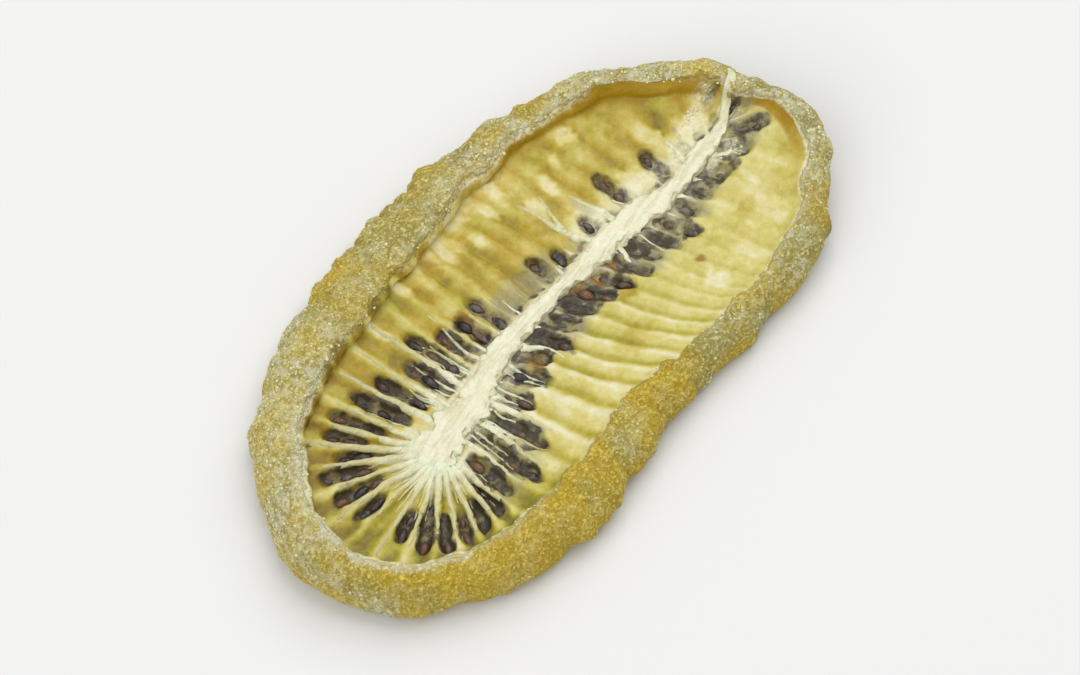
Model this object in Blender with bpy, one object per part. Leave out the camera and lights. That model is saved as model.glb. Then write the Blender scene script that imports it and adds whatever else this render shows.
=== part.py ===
"""A dried kiwi slice, cut lengthwise through a peeled fruit.

The slice is one solid: a thin ribbed middle inside a thick, curled rim. A pale core runs along it from
a broad blunt end, where the ribs fan out, to a thin tip. Dark seeds sit in the hollows between the ribs,
on the face that shows and on the underside. The slice lies on a few flat spots under its rim.

The shape is made of spokes. Each starts on the core's middle line and runs to the outline, and carries a
section of points over the upper side and back along the underside. The spokes fan round the core's ends.

Frame: +X along the slice from the fan to the thin tip, +Z up. The origin is at the middle of the
bounding box, on the surface that the slice lies on. Sizes below are in millimetres and degrees.
"""

import math
import random
from collections import namedtuple

import bmesh
import bpy
import numpy as np

MM = 0.001

# Widest outline seen from above, anticlockwise from the thin tip. The slice is a skewed oval with a
# cut-off corner, as the fruit was squeezed while it dried.
OUTLINE_POINTS = (
    (31.0, -1.6), (27.8, 4.4), (21.4, 10.9), (11.4, 15.0), (-0.4, 16.8), (-11.2, 16.6), (-20.8, 14.0),
    (-27.8, 8.2), (-31.3, 0.0), (-28.8, -7.6), (-22.4, -13.2), (-12.4, -16.6), (0.6, -16.0),
    (10.0, -17.1), (20.4, -17.4), (28.0, -13.8), (31.5, -8.8),
)

# The pale core: its middle line from the broad end to the tip, its half width at even steps along it,
# its height over the flesh beside it, and its rounded shoulder as shares of that width and height.
CORE_POINTS = (
    (-14.5, -1.5), (-7.7, -0.8), (-0.9, -0.4), (5.9, -1.1), (12.7, -2.1), (19.4, -3.7), (25.9, -3.4),
)
CORE_HALF_WIDTHS = (1.9, 1.75, 1.25, 1.0, 0.8, 1.25, 1.15, 0.85, 0.45)
CORE_RISE = 0.75
SHOULDER_WIDTH = 0.6
SHOULDER_HEIGHT = 0.85

# Ribs: how many start along each side of the core, round its broad end and round its tip, and their
# directions beside the core as (share along the core, direction).
SIDE_RIBS = 20
FAN_RIBS = 13
TIP_RIBS = 3
SPOKES_PER_RIB = 3
LEFT_RIB_ANGLES = ((0.0, 101), (0.05, 98), (0.1, 95), (0.2, 91), (0.5, 88), (0.8, 84), (1.0, 40))
RIGHT_RIB_ANGLES = (
    (0.0, 261), (0.06, 266), (0.13, 272), (0.2, 284), (0.3, 290), (0.45, 289), (0.62, 283), (0.8, 281),
    (1.0, 322),
)

# How far a rib stands over the hollows beside it, how much of that it has at the core, where it is
# full and where it starts to sink into the rim. Ribs are thin and sharp in the fan, which ends at
# FAN_END, and broad fingers with narrow grooves beside the core.
RIB_HEIGHT = 0.45
RIB_AT_CORE = 0.45
RIB_FULL = 0.45
RIB_SINKS = 0.75
RIB_AT_RIM = 0.45
FAN_END = 0.3
FAN_SHARPNESS = 2.2
SIDE_SHARPNESS = 0.8

# Heights over the surface that the slice lies on.
FLESH_HEIGHT = 2.75
BELLY_HEIGHT = 1.6
UNDER_FLESH_HEIGHT = 0.95
UNDER_CORE_HEIGHT = 0.45
UNDER_EDGE_HEIGHT = 0.6

# What changes round the rim, as (direction from the middle, value): how wide the rim is from its crest
# to the outline, how high its crest is, how far its inner wall slopes before the flesh, and how far the
# flesh rises from the core to that wall.
RIM_WIDTHS = ((0, 2.3), (45, 3.4), (85, 5.2), (115, 5.9), (140, 4.6), (180, 3.2), (210, 3.1), (238, 4.3),
              (270, 3.6), (300, 2.8), (340, 2.2))
CREST_HEIGHTS = ((0, 5.0), (45, 5.0), (90, 5.4), (135, 5.8), (180, 5.5), (225, 5.2), (270, 4.5), (315, 4.4))
INNER_WALL_RUNS = ((0, 1.3), (70, 0.9), (100, 0.6), (150, 0.6), (190, 0.9), (230, 1.8), (270, 2.6),
                   (315, 2.0))
FLESH_RISES = ((0, 0.6), (55, 0.4), (80, 0.8), (110, 1.3), (150, 1.2), (180, 0.8), (210, 0.6), (270, 1.0))

# The crest's rounded top, and the rim's outer side, which falls to its belly as a superellipse.
CREST_HALF_WIDTH = 0.2
CREST_DROP = 0.25
OUTER_ROUNDNESS = 2.3

# Where the points of a section lie: shares of the way over the flesh and over the rim's outer side.
FLESH_SHARES = (0.0, 0.2, 0.45, 0.72, 1.0)
OUTER_SHARES = (0.4, 0.75, 1.0)

# Small folds of the drying rim: (folds all round, depth, start in radians), and how much of their depth
# the crest moves in and out, and up and down.
PUCKERS = ((17, 0.20, 0.6), (31, 0.13, 2.1))
PUCKER_OF_CREST = 0.6
PUCKER_OF_HEIGHT = 0.8
PUCKER_TURN = 40

# The ring under the rim, measured in from the outline, and the hollow inside it.
RING_EDGE = 0.3
RING_OUTER = 1.1
RING_INNER = 2.7
UNDER_WALL_RUN = 1.2
UNDER_RIB_DEPTH = 0.5

# The slice warped as it dried, so the ring touches the surface only at flat spots: their directions from
# the middle, half their size and the way on which the ring rises beside them, in degrees, and its rise.
REST_SPOTS = (50, 138, 213, 300)
REST_SPOT_HALF = 2.5
RING_RISE_RUN = 20
RING_RISE = 0.4

# The lift of the thin end.
LIFT_START = 12.0
TIP_LIFT = 1.5

# The least space between the core and a wall.
CORE_CLEARANCE = 0.4

# A kiwi seed, how much its pointed end tapers, how many sides it has, and how much seeds differ in length
# and in direction.
SEED_LENGTH = 2.2
SEED_WIDTH = 1.15
SEED_THICKNESS = 1.0
SEED_TAPER = 0.45
SEED_SEGMENTS = 5
SEED_RINGS = 4
SEED_STRETCH = (0.85, 1.1)
SEED_TURN = 14

# Where the seeds of the shown face lie: hollow number, counted like the spokes, and how far each seed in
# that hollow is from the core's middle line.
SEEDS_IN_HOLLOWS = (
    (3, (2.2, 3.8)), (5, (2.9, 4.8)), (7, (2.5,)), (9, (2.2,)), (10, (3.1,)), (13, (1.9, 4.6)),
    (14, (2.7, 4.3)), (15, (3.3, 5.1)), (16, (3.0, 5.1, 7.1)), (17, (4.2, 5.8)), (18, (4.0, 5.6, 7.4)),
    (19, (4.7, 6.3, 8.2)), (20, (6.0, 7.7, 9.3)), (21, (7.7, 9.4)), (22, (5.2, 6.8, 8.4)),
    (23, (7.0, 8.6, 10.1)), (24, (6.4, 8.0, 9.9)), (25, (7.5, 9.2)), (27, (7.2, 8.9)),
    (28, (5.9, 7.7, 9.6)), (29, (7.7, 9.6)), (30, (7.1, 8.9)), (31, (6.6, 8.3)), (32, (4.6, 6.3, 8.0)),
    (33, (3.5, 5.2, 6.9)), (34, (2.8, 4.7, 6.5, 8.4)), (35, (3.7, 5.3, 7.0)), (36, (2.5, 4.1)),
    (37, (2.4, 4.2)), (38, (3.1,)), (39, (2.2, 4.4)), (40, (2.4,)), (41, (2.1,)), (42, (2.0, 3.8)),
    (43, (2.2, 4.1)), (44, (2.0, 4.4)), (45, (2.2,)), (46, (3.1,)), (47, (2.1, 4.4)), (48, (2.1,)),
    (49, (2.2,)), (50, (2.4,)), (51, (3.3,)), (52, (2.4, 4.0)), (54, (1.9,)),
)

# The two faces: which way seeds stand out of it, its random draw, and the share of the places above
# that hold a seed.
TOP_FACE = (1, 7, 1.0)
UNDERSIDE = (-1, 19, 0.18)

# Linear base colour, roughness.
FLESH_FINISH = ((0.46, 0.38, 0.11), 0.45)
RIM_FINISH = ((0.42, 0.34, 0.12), 0.8)
CORE_FINISH = ((0.78, 0.74, 0.50), 0.6)
SEED_FINISH = ((0.045, 0.025, 0.022), 0.35)
FLESH_SLOT, RIM_SLOT, CORE_SLOT = range(3)
SMOOTH_ANGLE = 40

# One spoke of the slice: where it starts on the core's middle line, how far along the core that is
# (0 to 1), its direction, its length to the outline, and its place in the rib that it crosses (0 on
# the ridge, 0.5 in the hollow).
Spoke = namedtuple("Spoke", "x y along angle reach phase")


def smooth_curve(points, closed, per_span=24):
    """Points of a Catmull-Rom curve through the given points, as an array."""
    given = np.array(points, float)
    if closed:
        ends = np.vstack([given[-1], given, given[0], given[1]])
    else:
        ends = np.vstack([2 * given[0] - given[1], given, 2 * given[-1] - given[-2]])
    share = np.linspace(0, 1, per_span, endpoint=False)[:, None]
    spans = []
    for before, start, end, after in zip(ends, ends[1:], ends[2:], ends[3:]):
        spans.append(
            0.5 * (
                2 * start
                + (end - before) * share
                + (2 * before - 5 * start + 4 * end - after) * share**2
                + (3 * start - before - 3 * end + after) * share**3
            )
        )
    if not closed:
        spans.append(given[-1:])
    return np.vstack(spans)


OUTLINE = smooth_curve(OUTLINE_POINTS, closed=True)
CORE_LINE = smooth_curve(CORE_POINTS, closed=False)


def round_the_rim(pairs, direction):
    """The value at a direction in degrees, read between (direction, value) pairs."""
    directions, values = zip(*pairs)
    return float(np.interp(direction % 360, directions, values, period=360))


def eased(share):
    """0 to 1 with a level start and end."""
    share = min(max(share, 0.0), 1.0)
    return share * share * (3 - 2 * share)


def on_core(along):
    """The point of the core's middle line at a share of its points, 0 at the broad end."""
    at = along * (len(CORE_LINE) - 1)
    index = range(len(CORE_LINE))
    return np.interp(at, index, CORE_LINE[:, 0]), np.interp(at, index, CORE_LINE[:, 1])


def core_half_width(along):
    """Half the core's width at a share of its length."""
    stations = np.linspace(0, 1, len(CORE_HALF_WIDTHS))
    return float(np.interp(along, stations, CORE_HALF_WIDTHS))


def side_angle(along, pairs):
    """The direction of a spoke beside the core, read from a smooth curve through the given pairs."""
    curve = smooth_curve(pairs, closed=False)
    return float(np.interp(along, curve[:, 0], curve[:, 1]))


def reach_of(x, y, angle):
    """The distance from a point inside the outline to the outline, along a direction in degrees."""
    ray = np.array([math.cos(math.radians(angle)), math.sin(math.radians(angle))])
    start = OUTLINE - (x, y)
    edge = np.roll(OUTLINE, -1, axis=0) - OUTLINE
    cross = ray[0] * edge[:, 1] - ray[1] * edge[:, 0]
    cross[cross == 0] = np.finfo(float).eps
    far = (start[:, 0] * edge[:, 1] - start[:, 1] * edge[:, 0]) / cross
    share = (start[:, 0] * ray[1] - start[:, 1] * ray[0]) / cross
    return float(far[(far > 0) & (share >= 0) & (share < 1)].max())


def make_spokes():
    """Every spoke, anticlockwise from the tip: the left side, the fan, the right side, the tip's ribs."""
    along_side = np.linspace(0, 1, SIDE_RIBS * SPOKES_PER_RIB + 1)
    left = [(along, side_angle(along, LEFT_RIB_ANGLES)) for along in along_side[::-1]]
    right = [(along, side_angle(along, RIGHT_RIB_ANGLES)) for along in along_side]
    fan = np.linspace(left[-1][1], right[0][1], FAN_RIBS * SPOKES_PER_RIB + 1)[1:-1]
    tip = np.linspace(right[-1][1], left[0][1] + 360, TIP_RIBS * SPOKES_PER_RIB + 1)[1:-1]
    runs = left + [(0.0, angle) for angle in fan] + right + [(1.0, angle) for angle in tip]
    spokes = []
    for number, (along, angle) in enumerate(runs):
        x, y = on_core(along)
        phase = number % SPOKES_PER_RIB / SPOKES_PER_RIB
        spokes.append(Spoke(x, y, along, angle, reach_of(x, y, angle), phase))
    return spokes


def rim_direction(spoke):
    """The direction from the slice's middle to where a spoke meets the outline, in degrees."""
    angle = math.radians(spoke.angle)
    return math.degrees(
        math.atan2(spoke.y + spoke.reach * math.sin(angle), spoke.x + spoke.reach * math.cos(angle))
    )


def pucker(direction):
    """How far the small folds push the rim out at a direction."""
    turn = math.radians(direction)
    return sum(depth * math.sin(folds * turn + start) for folds, depth, start in PUCKERS)


def rib(spoke, share):
    """Height of the ribs at a share of the way from the core to the rim: sharp in the fan, soft beside it."""
    in_fan = 1 - eased(spoke.along / FAN_END)
    sharpness = SIDE_SHARPNESS + (FAN_SHARPNESS - SIDE_SHARPNESS) * in_fan
    ridge = (0.5 + 0.5 * math.cos(math.tau * spoke.phase)) ** sharpness
    swell = RIB_AT_CORE + (1 - RIB_AT_CORE) * eased(share / RIB_FULL)
    sink = 1 - (1 - RIB_AT_RIM) * eased((share - RIB_SINKS) / (1 - RIB_SINKS))
    return RIB_HEIGHT * swell * sink * ridge


def ring_height(direction):
    """How far the ring under the rim stands off the surface at a direction from the middle."""
    away = min(abs((direction - spot + 180) % 360 - 180) for spot in REST_SPOTS)
    return RING_RISE * eased((away - REST_SPOT_HALF) / RING_RISE_RUN)


def lift(x):
    """How far the thin end curls up off the surface."""
    return TIP_LIFT * eased((x - LIFT_START) / (OUTLINE[:, 0].max() - LIFT_START)) ** 1.5


def top_section(spoke):
    """(distance along the spoke, height) of the upper side, from the core's middle out to the outline."""
    direction = rim_direction(spoke)
    fold = pucker(direction)
    foot = core_half_width(spoke.along)
    crest_at = spoke.reach - round_the_rim(RIM_WIDTHS, direction) + PUCKER_OF_CREST * fold
    wall_at = max(crest_at - round_the_rim(INNER_WALL_RUNS, direction), foot + CORE_CLEARANCE)
    crest = round_the_rim(CREST_HEIGHTS, direction) + PUCKER_OF_HEIGHT * pucker(direction + PUCKER_TURN)
    points = [
        (0.0, FLESH_HEIGHT + CORE_RISE),
        (SHOULDER_WIDTH * foot, FLESH_HEIGHT + SHOULDER_HEIGHT * CORE_RISE),
    ]
    rise = round_the_rim(FLESH_RISES, direction)
    for share in FLESH_SHARES:
        height = FLESH_HEIGHT + rise * share**2 + rib(spoke, share) * (share > 0)
        points.append((foot + (wall_at - foot) * share, height))
    points.append((crest_at - CREST_HALF_WIDTH, crest - CREST_DROP))
    points.append((crest_at + CREST_HALF_WIDTH, crest))
    outer_start = crest_at + CREST_HALF_WIDTH
    outer_run = spoke.reach + fold - outer_start
    for share in OUTER_SHARES:
        drop = (1 - share**OUTER_ROUNDNESS) ** (1 / OUTER_ROUNDNESS)
        points.append((outer_start + outer_run * share, BELLY_HEIGHT + (crest - BELLY_HEIGHT) * drop))
    return points


def under_section(spoke):
    """(distance along the spoke, height) of the underside, from the outline in to the core's middle."""
    direction = rim_direction(spoke)
    outer = spoke.reach + pucker(direction)
    foot = core_half_width(spoke.along)
    ring = ring_height(direction)
    ring_in = max(outer - RING_INNER, foot + 2 * CORE_CLEARANCE)
    flesh_at = max(ring_in - UNDER_WALL_RUN, foot + CORE_CLEARANCE)
    hollow = UNDER_FLESH_HEIGHT - UNDER_RIB_DEPTH * rib(spoke, RIB_FULL)
    shoulder = UNDER_CORE_HEIGHT + (1 - SHOULDER_HEIGHT) * CORE_RISE
    return [
        (outer - RING_EDGE, UNDER_EDGE_HEIGHT + ring),
        (outer - RING_OUTER, ring),
        (ring_in, ring),
        (flesh_at, hollow),
        (0.5 * (flesh_at + foot), hollow),
        (foot, UNDER_FLESH_HEIGHT),
        (SHOULDER_WIDTH * foot, shoulder),
        (0.0, UNDER_CORE_HEIGHT),
    ]


def place(spoke, distance, height):
    """A point of a spoke's section in metres, with the curl of the thin end."""
    angle = math.radians(spoke.angle)
    x = spoke.x + distance * math.cos(angle)
    y = spoke.y + distance * math.sin(angle)
    return x * MM, y * MM, (height + lift(x)) * MM


def make_finish(name, finish):
    """A Principled material of one colour."""
    material = bpy.data.materials.new(name)
    material.use_nodes = True
    colour, roughness = finish
    shader = material.node_tree.nodes["Principled BSDF"]
    shader.inputs["Base Color"].default_value = (*colour, 1)
    shader.inputs["Roughness"].default_value = roughness
    material.diffuse_color = (*colour, 1)
    return material


def new_object(name, mesh_data, finishes, collection):
    """An object of a bmesh, with its materials, in a collection."""
    mesh = bpy.data.meshes.new(name)
    mesh_data.to_mesh(mesh)
    mesh_data.free()
    for material in finishes:
        mesh.materials.append(material)
    made = bpy.data.objects.new(name, mesh)
    collection.objects.link(made)
    return made


def build_skin(spokes, finishes):
    """The slice without its seeds: the sections of all spokes joined into one closed skin."""
    skin = bmesh.new()
    columns = []
    for spoke in spokes:
        section = top_section(spoke) + under_section(spoke)
        columns.append([skin.verts.new(place(spoke, *point)) for point in section])
    core_rings = 2
    rim_start = core_rings + len(FLESH_SHARES)
    rim_end = rim_start + len(OUTER_SHARES) + 3
    last_ring = len(columns[0]) - 1
    for left, right in zip(columns, columns[1:] + columns[:1]):
        for ring in range(last_ring):
            face = skin.faces.new((left[ring], left[ring + 1], right[ring + 1], right[ring]))
            if ring < core_rings or ring >= last_ring - core_rings:
                face.material_index = CORE_SLOT
            elif rim_start <= ring < rim_end:
                face.material_index = RIM_SLOT
    bmesh.ops.remove_doubles(skin, verts=skin.verts, dist=0.002 * MM)
    bmesh.ops.dissolve_degenerate(skin, edges=skin.edges, dist=0.001 * MM)
    bmesh.ops.triangulate(skin, faces=skin.faces)
    bmesh.ops.recalc_face_normals(skin, faces=skin.faces)
    return new_object("kiwi_slice", skin, finishes, bpy.context.scene.collection)


def seed_places(spokes, draw, fullness):
    """(first spoke beside it, distance, turn) of each seed of one face, in the middle of its hollow."""
    rows = []
    for hollow, distances in SEEDS_IN_HOLLOWS:
        for distance in distances:
            filled = draw.random() < fullness
            turn = draw.uniform(-SEED_TURN, SEED_TURN)
            if filled:
                rows.append((hollow * SPOKES_PER_RIB + SPOKES_PER_RIB // 2, distance, turn))
    return rows


def seed_mesh(stretch):
    """One seed, half sunk where its origin is: a flattened drop whose pointed end is at -X."""
    seed = bmesh.new()
    bmesh.ops.create_uvsphere(seed, u_segments=SEED_SEGMENTS, v_segments=SEED_RINGS, radius=0.5)
    for vert in seed.verts:
        across, thick, length = vert.co
        taper = 1 - SEED_TAPER * max(0.0, -2 * length) ** 2
        vert.co = (
            length * SEED_LENGTH * stretch * MM,
            across * SEED_WIDTH * taper * MM,
            thick * SEED_THICKNESS * taper * MM,
        )
    bmesh.ops.triangulate(seed, faces=seed.faces)
    bmesh.ops.recalc_face_normals(seed, faces=seed.faces)
    return seed


def height_on(section, distance):
    """The height of a section, given from its middle outwards, at a distance along it."""
    distances, heights = zip(*section)
    return float(np.interp(distance, distances, heights))


def add_seeds(spokes, collection, material):
    """The seeds of both faces, as objects of a collection."""
    for side, number, fullness in (TOP_FACE, UNDERSIDE):
        draw = random.Random(number)
        for first, distance, turn in seed_places(spokes, draw, fullness):
            spots = []
            for spoke in spokes[first:first + 2]:
                section = top_section(spoke) if side > 0 else under_section(spoke)[::-1]
                spots.append(place(spoke, distance, height_on(section, distance)))
            seed = new_object("seed", seed_mesh(draw.uniform(*SEED_STRETCH)), [material], collection)
            seed.location = np.mean(spots, axis=0)
            seed.rotation_euler = (0, 0, math.radians(spokes[first].angle + turn))


def fuse(body, collection):
    """Joins the collection's objects to the body by one Boolean union, and removes them."""
    union = body.modifiers.new("seeds_fused", "BOOLEAN")
    union.operation = "UNION"
    union.operand_type = "COLLECTION"
    union.collection = collection
    union.solver = "EXACT"
    union.material_mode = "TRANSFER"
    bpy.context.view_layer.objects.active = body
    bpy.ops.object.modifier_apply(modifier=union.name)
    for seed in list(collection.objects):
        bpy.data.objects.remove(seed)
    bpy.data.collections.remove(collection)


def centre(body):
    """Puts the origin at the middle of the bounding box, on the surface that the slice lies on."""
    low = np.min([vert.co for vert in body.data.vertices], axis=0)
    high = np.max([vert.co for vert in body.data.vertices], axis=0)
    for vert in body.data.vertices:
        vert.co.x -= (low[0] + high[0]) / 2
        vert.co.y -= (low[1] + high[1]) / 2


def main():
    """Builds the slice."""
    for old in list(bpy.data.objects):
        bpy.data.objects.remove(old)
    flesh = make_finish("dried_flesh", FLESH_FINISH)
    rim = make_finish("frosted_rim", RIM_FINISH)
    core = make_finish("pale_core", CORE_FINISH)
    seed = make_finish("seed", SEED_FINISH)
    spokes = make_spokes()
    body = build_skin(spokes, [flesh, rim, core])
    seeds = bpy.data.collections.new("seeds")
    bpy.context.scene.collection.children.link(seeds)
    add_seeds(spokes, seeds, seed)
    bpy.context.view_layer.update()
    fuse(body, seeds)
    centre(body)
    body.data.set_sharp_from_angle(angle=math.radians(SMOOTH_ANGLE))


if __name__ == "__main__":
    main()
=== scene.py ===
"""Dresses the dried kiwi slice: its flesh and frosted rim, pale pith, fibres, seeds and sugar grains.

The flesh follows the same spokes and sections as the solid that it stands for, with more of them. A
spoke starts on the pith's middle line and runs to the outline. Sizes are in millimetres and degrees, in
the solid's frame: +X from the fan of ribs to the thin tip, +Z up. Meshes are made in metres.
"""

import itertools
import logging
import math
import random
from collections.abc import Iterator
from contextlib import contextmanager
from dataclasses import dataclass, field, fields
from enum import Enum

import bpy
import numpy as np
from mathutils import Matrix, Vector
from mathutils.bvhtree import BVHTree


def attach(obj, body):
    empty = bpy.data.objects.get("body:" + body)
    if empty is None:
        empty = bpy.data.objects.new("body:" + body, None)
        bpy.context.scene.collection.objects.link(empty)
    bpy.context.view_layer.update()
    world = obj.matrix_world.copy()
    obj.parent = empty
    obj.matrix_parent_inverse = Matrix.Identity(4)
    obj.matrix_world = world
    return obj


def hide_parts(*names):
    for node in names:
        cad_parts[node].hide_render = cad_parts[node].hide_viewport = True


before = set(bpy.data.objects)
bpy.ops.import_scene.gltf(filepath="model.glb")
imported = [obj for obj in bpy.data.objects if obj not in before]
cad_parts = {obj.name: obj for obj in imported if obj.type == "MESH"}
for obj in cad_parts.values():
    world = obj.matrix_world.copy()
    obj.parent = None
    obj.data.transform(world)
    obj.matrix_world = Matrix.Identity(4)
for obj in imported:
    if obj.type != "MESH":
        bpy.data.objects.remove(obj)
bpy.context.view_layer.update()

LOG = logging.getLogger("kiwi_slice")
MM = 0.001
MERGE = 0.004 * MM
NODE = "kiwi_slice"
BODY = "root"

Pairs = tuple[tuple[float, float], ...]
Rows = tuple[tuple[float, ...], ...]
Span = tuple[float, float]
Colour = tuple[float, float, float]
Array = np.ndarray
Piece = bpy.types.Object
Mesh = bpy.types.Mesh
Material = bpy.types.Material
Socket = bpy.types.NodeSocket


class Slot(Enum):
    """The names of the material slots."""

    FLESH = "dried_fruit"
    SEED = "seed"
    PITH = "core"
    FROST = "frost"


class Side(Enum):
    """A face of the slice, and which way it looks."""

    TOP = 1
    UNDER = -1


# ---- curves and noise


def curve_span(four: Array, share: Array | float) -> Array:
    """Places on a Catmull-Rom curve.

    Args:
        four: four points of the curve, whose span runs from the second to the third.
        share: the share of the way along the span.

    Returns:
        The place, or a row for each share.
    """
    before, start, end, after = four
    return 0.5 * (
        2 * start
        + (end - before) * share
        + (2 * before - 5 * start + 4 * end - after) * share**2
        + (3 * start - before - 3 * end + after) * share**3
    )


def smooth_curve(points: Rows, closed: bool, per_span: int = 24) -> Array:
    """Points of a Catmull-Rom curve through the given points.

    Args:
        points: the points that the curve passes through.
        closed: whether the last point joins the first.
        per_span: points from one given point to the next.

    Returns:
        An array of the curve's points.
    """
    given = np.array(points, float)
    if closed:
        ends = np.vstack([given[-1], given, given[0], given[1]])
    else:
        ends = np.vstack([2 * given[0] - given[1], given, 2 * given[-1] - given[-2]])
    share = np.linspace(0, 1, per_span, endpoint=False)[:, None]
    spans = [curve_span(four, share) for four in zip(ends, ends[1:], ends[2:], ends[3:])]
    if not closed:
        spans.append(given[-1:])
    return np.vstack(spans)


def eased(share: Array | float) -> Array:
    """0 to 1 with a level start and end."""
    share = np.clip(share, 0.0, 1.0)
    return share * share * (3 - 2 * share)


def bell(value: Array, middle: float, width: float) -> Array:
    """1 at the middle, falling smoothly to nothing about two widths away."""
    return np.exp(-(((value - middle) / width) ** 2))


def toward(value: Array, goal: float, share: Array) -> Array:
    """A value moved a share of the way, from 0 to 1, to its goal."""
    return value + (goal - value) * np.clip(share, 0, 1)


def steps(count: int) -> Array:
    """Even steps from 0 to 1, without 0."""
    return np.linspace(0, 1, count + 1)[1:]


def from_ellipse(
    points: Array, middle: Span, half: Span, turn: float
) -> Array:
    """How far points are from an ellipse's middle, seen from above: 1 on its edge.

    Args:
        points: rows of x, y, z.
        middle: the ellipse's middle.
        half: half its length and half its width.
        turn: the direction of its length, in degrees.

    Returns:
        A distance for each point.
    """
    cos, sin = math.cos(math.radians(turn)), math.sin(math.radians(turn))
    dx, dy = points[:, 0] - middle[0], points[:, 1] - middle[1]
    return np.hypot((dx * cos + dy * sin) / half[0], (dy * cos - dx * sin) / half[1])


def round_the_rim(pairs: Pairs, direction: Array) -> Array:
    """The values at directions in degrees, read between (direction, value) pairs."""
    directions, values = zip(*pairs)
    return np.interp(direction % 360, directions, values, period=360)


class ValueNoise:
    """Smooth random values in space, the same on every run."""

    SIZE = 48

    def __init__(self, number: int) -> None:
        """Fills the lattice from a seeded draw."""
        self.table = np.random.default_rng(number).uniform(-1, 1, (self.SIZE,) * 3)

    def at(self, points: Array, lump: float) -> Array:
        """The values at points.

        Args:
            points: rows of x, y, z.
            lump: the size of one lump, in the points' unit.

        Returns:
            A value from -1 to 1 for each point.
        """
        scaled = points / lump
        cell = np.floor(scaled).astype(int)
        part = scaled - cell
        part = part * part * (3 - 2 * part)
        total = np.zeros(len(points))
        for corner in itertools.product((0, 1), repeat=3):
            weight = np.prod(np.where(corner, part, 1 - part), axis=1)
            i, j, k = ((cell + corner) % self.SIZE).T
            total += weight * self.table[i, j, k]
        return total


# ---- the slice's form


@dataclass
class Spokes:
    """Spokes as arrays: start, place along the pith, direction, length, and place across the ribs."""

    x: Array
    y: Array
    along: Array
    angle: Array
    reach: Array
    ribs: Array
    left: Array

    def at(self, distance: Array | float) -> tuple[Array, Array]:
        """x and y on the spokes at distances from the pith's middle line."""
        turn = np.radians(self.angle)
        return self.x + distance * np.cos(turn), self.y + distance * np.sin(turn)

    def direction(self) -> Array:
        """The direction from the slice's middle to each spoke's end, in degrees."""
        x, y = self.at(self.reach)
        return np.degrees(np.arctan2(y, x))


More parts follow.
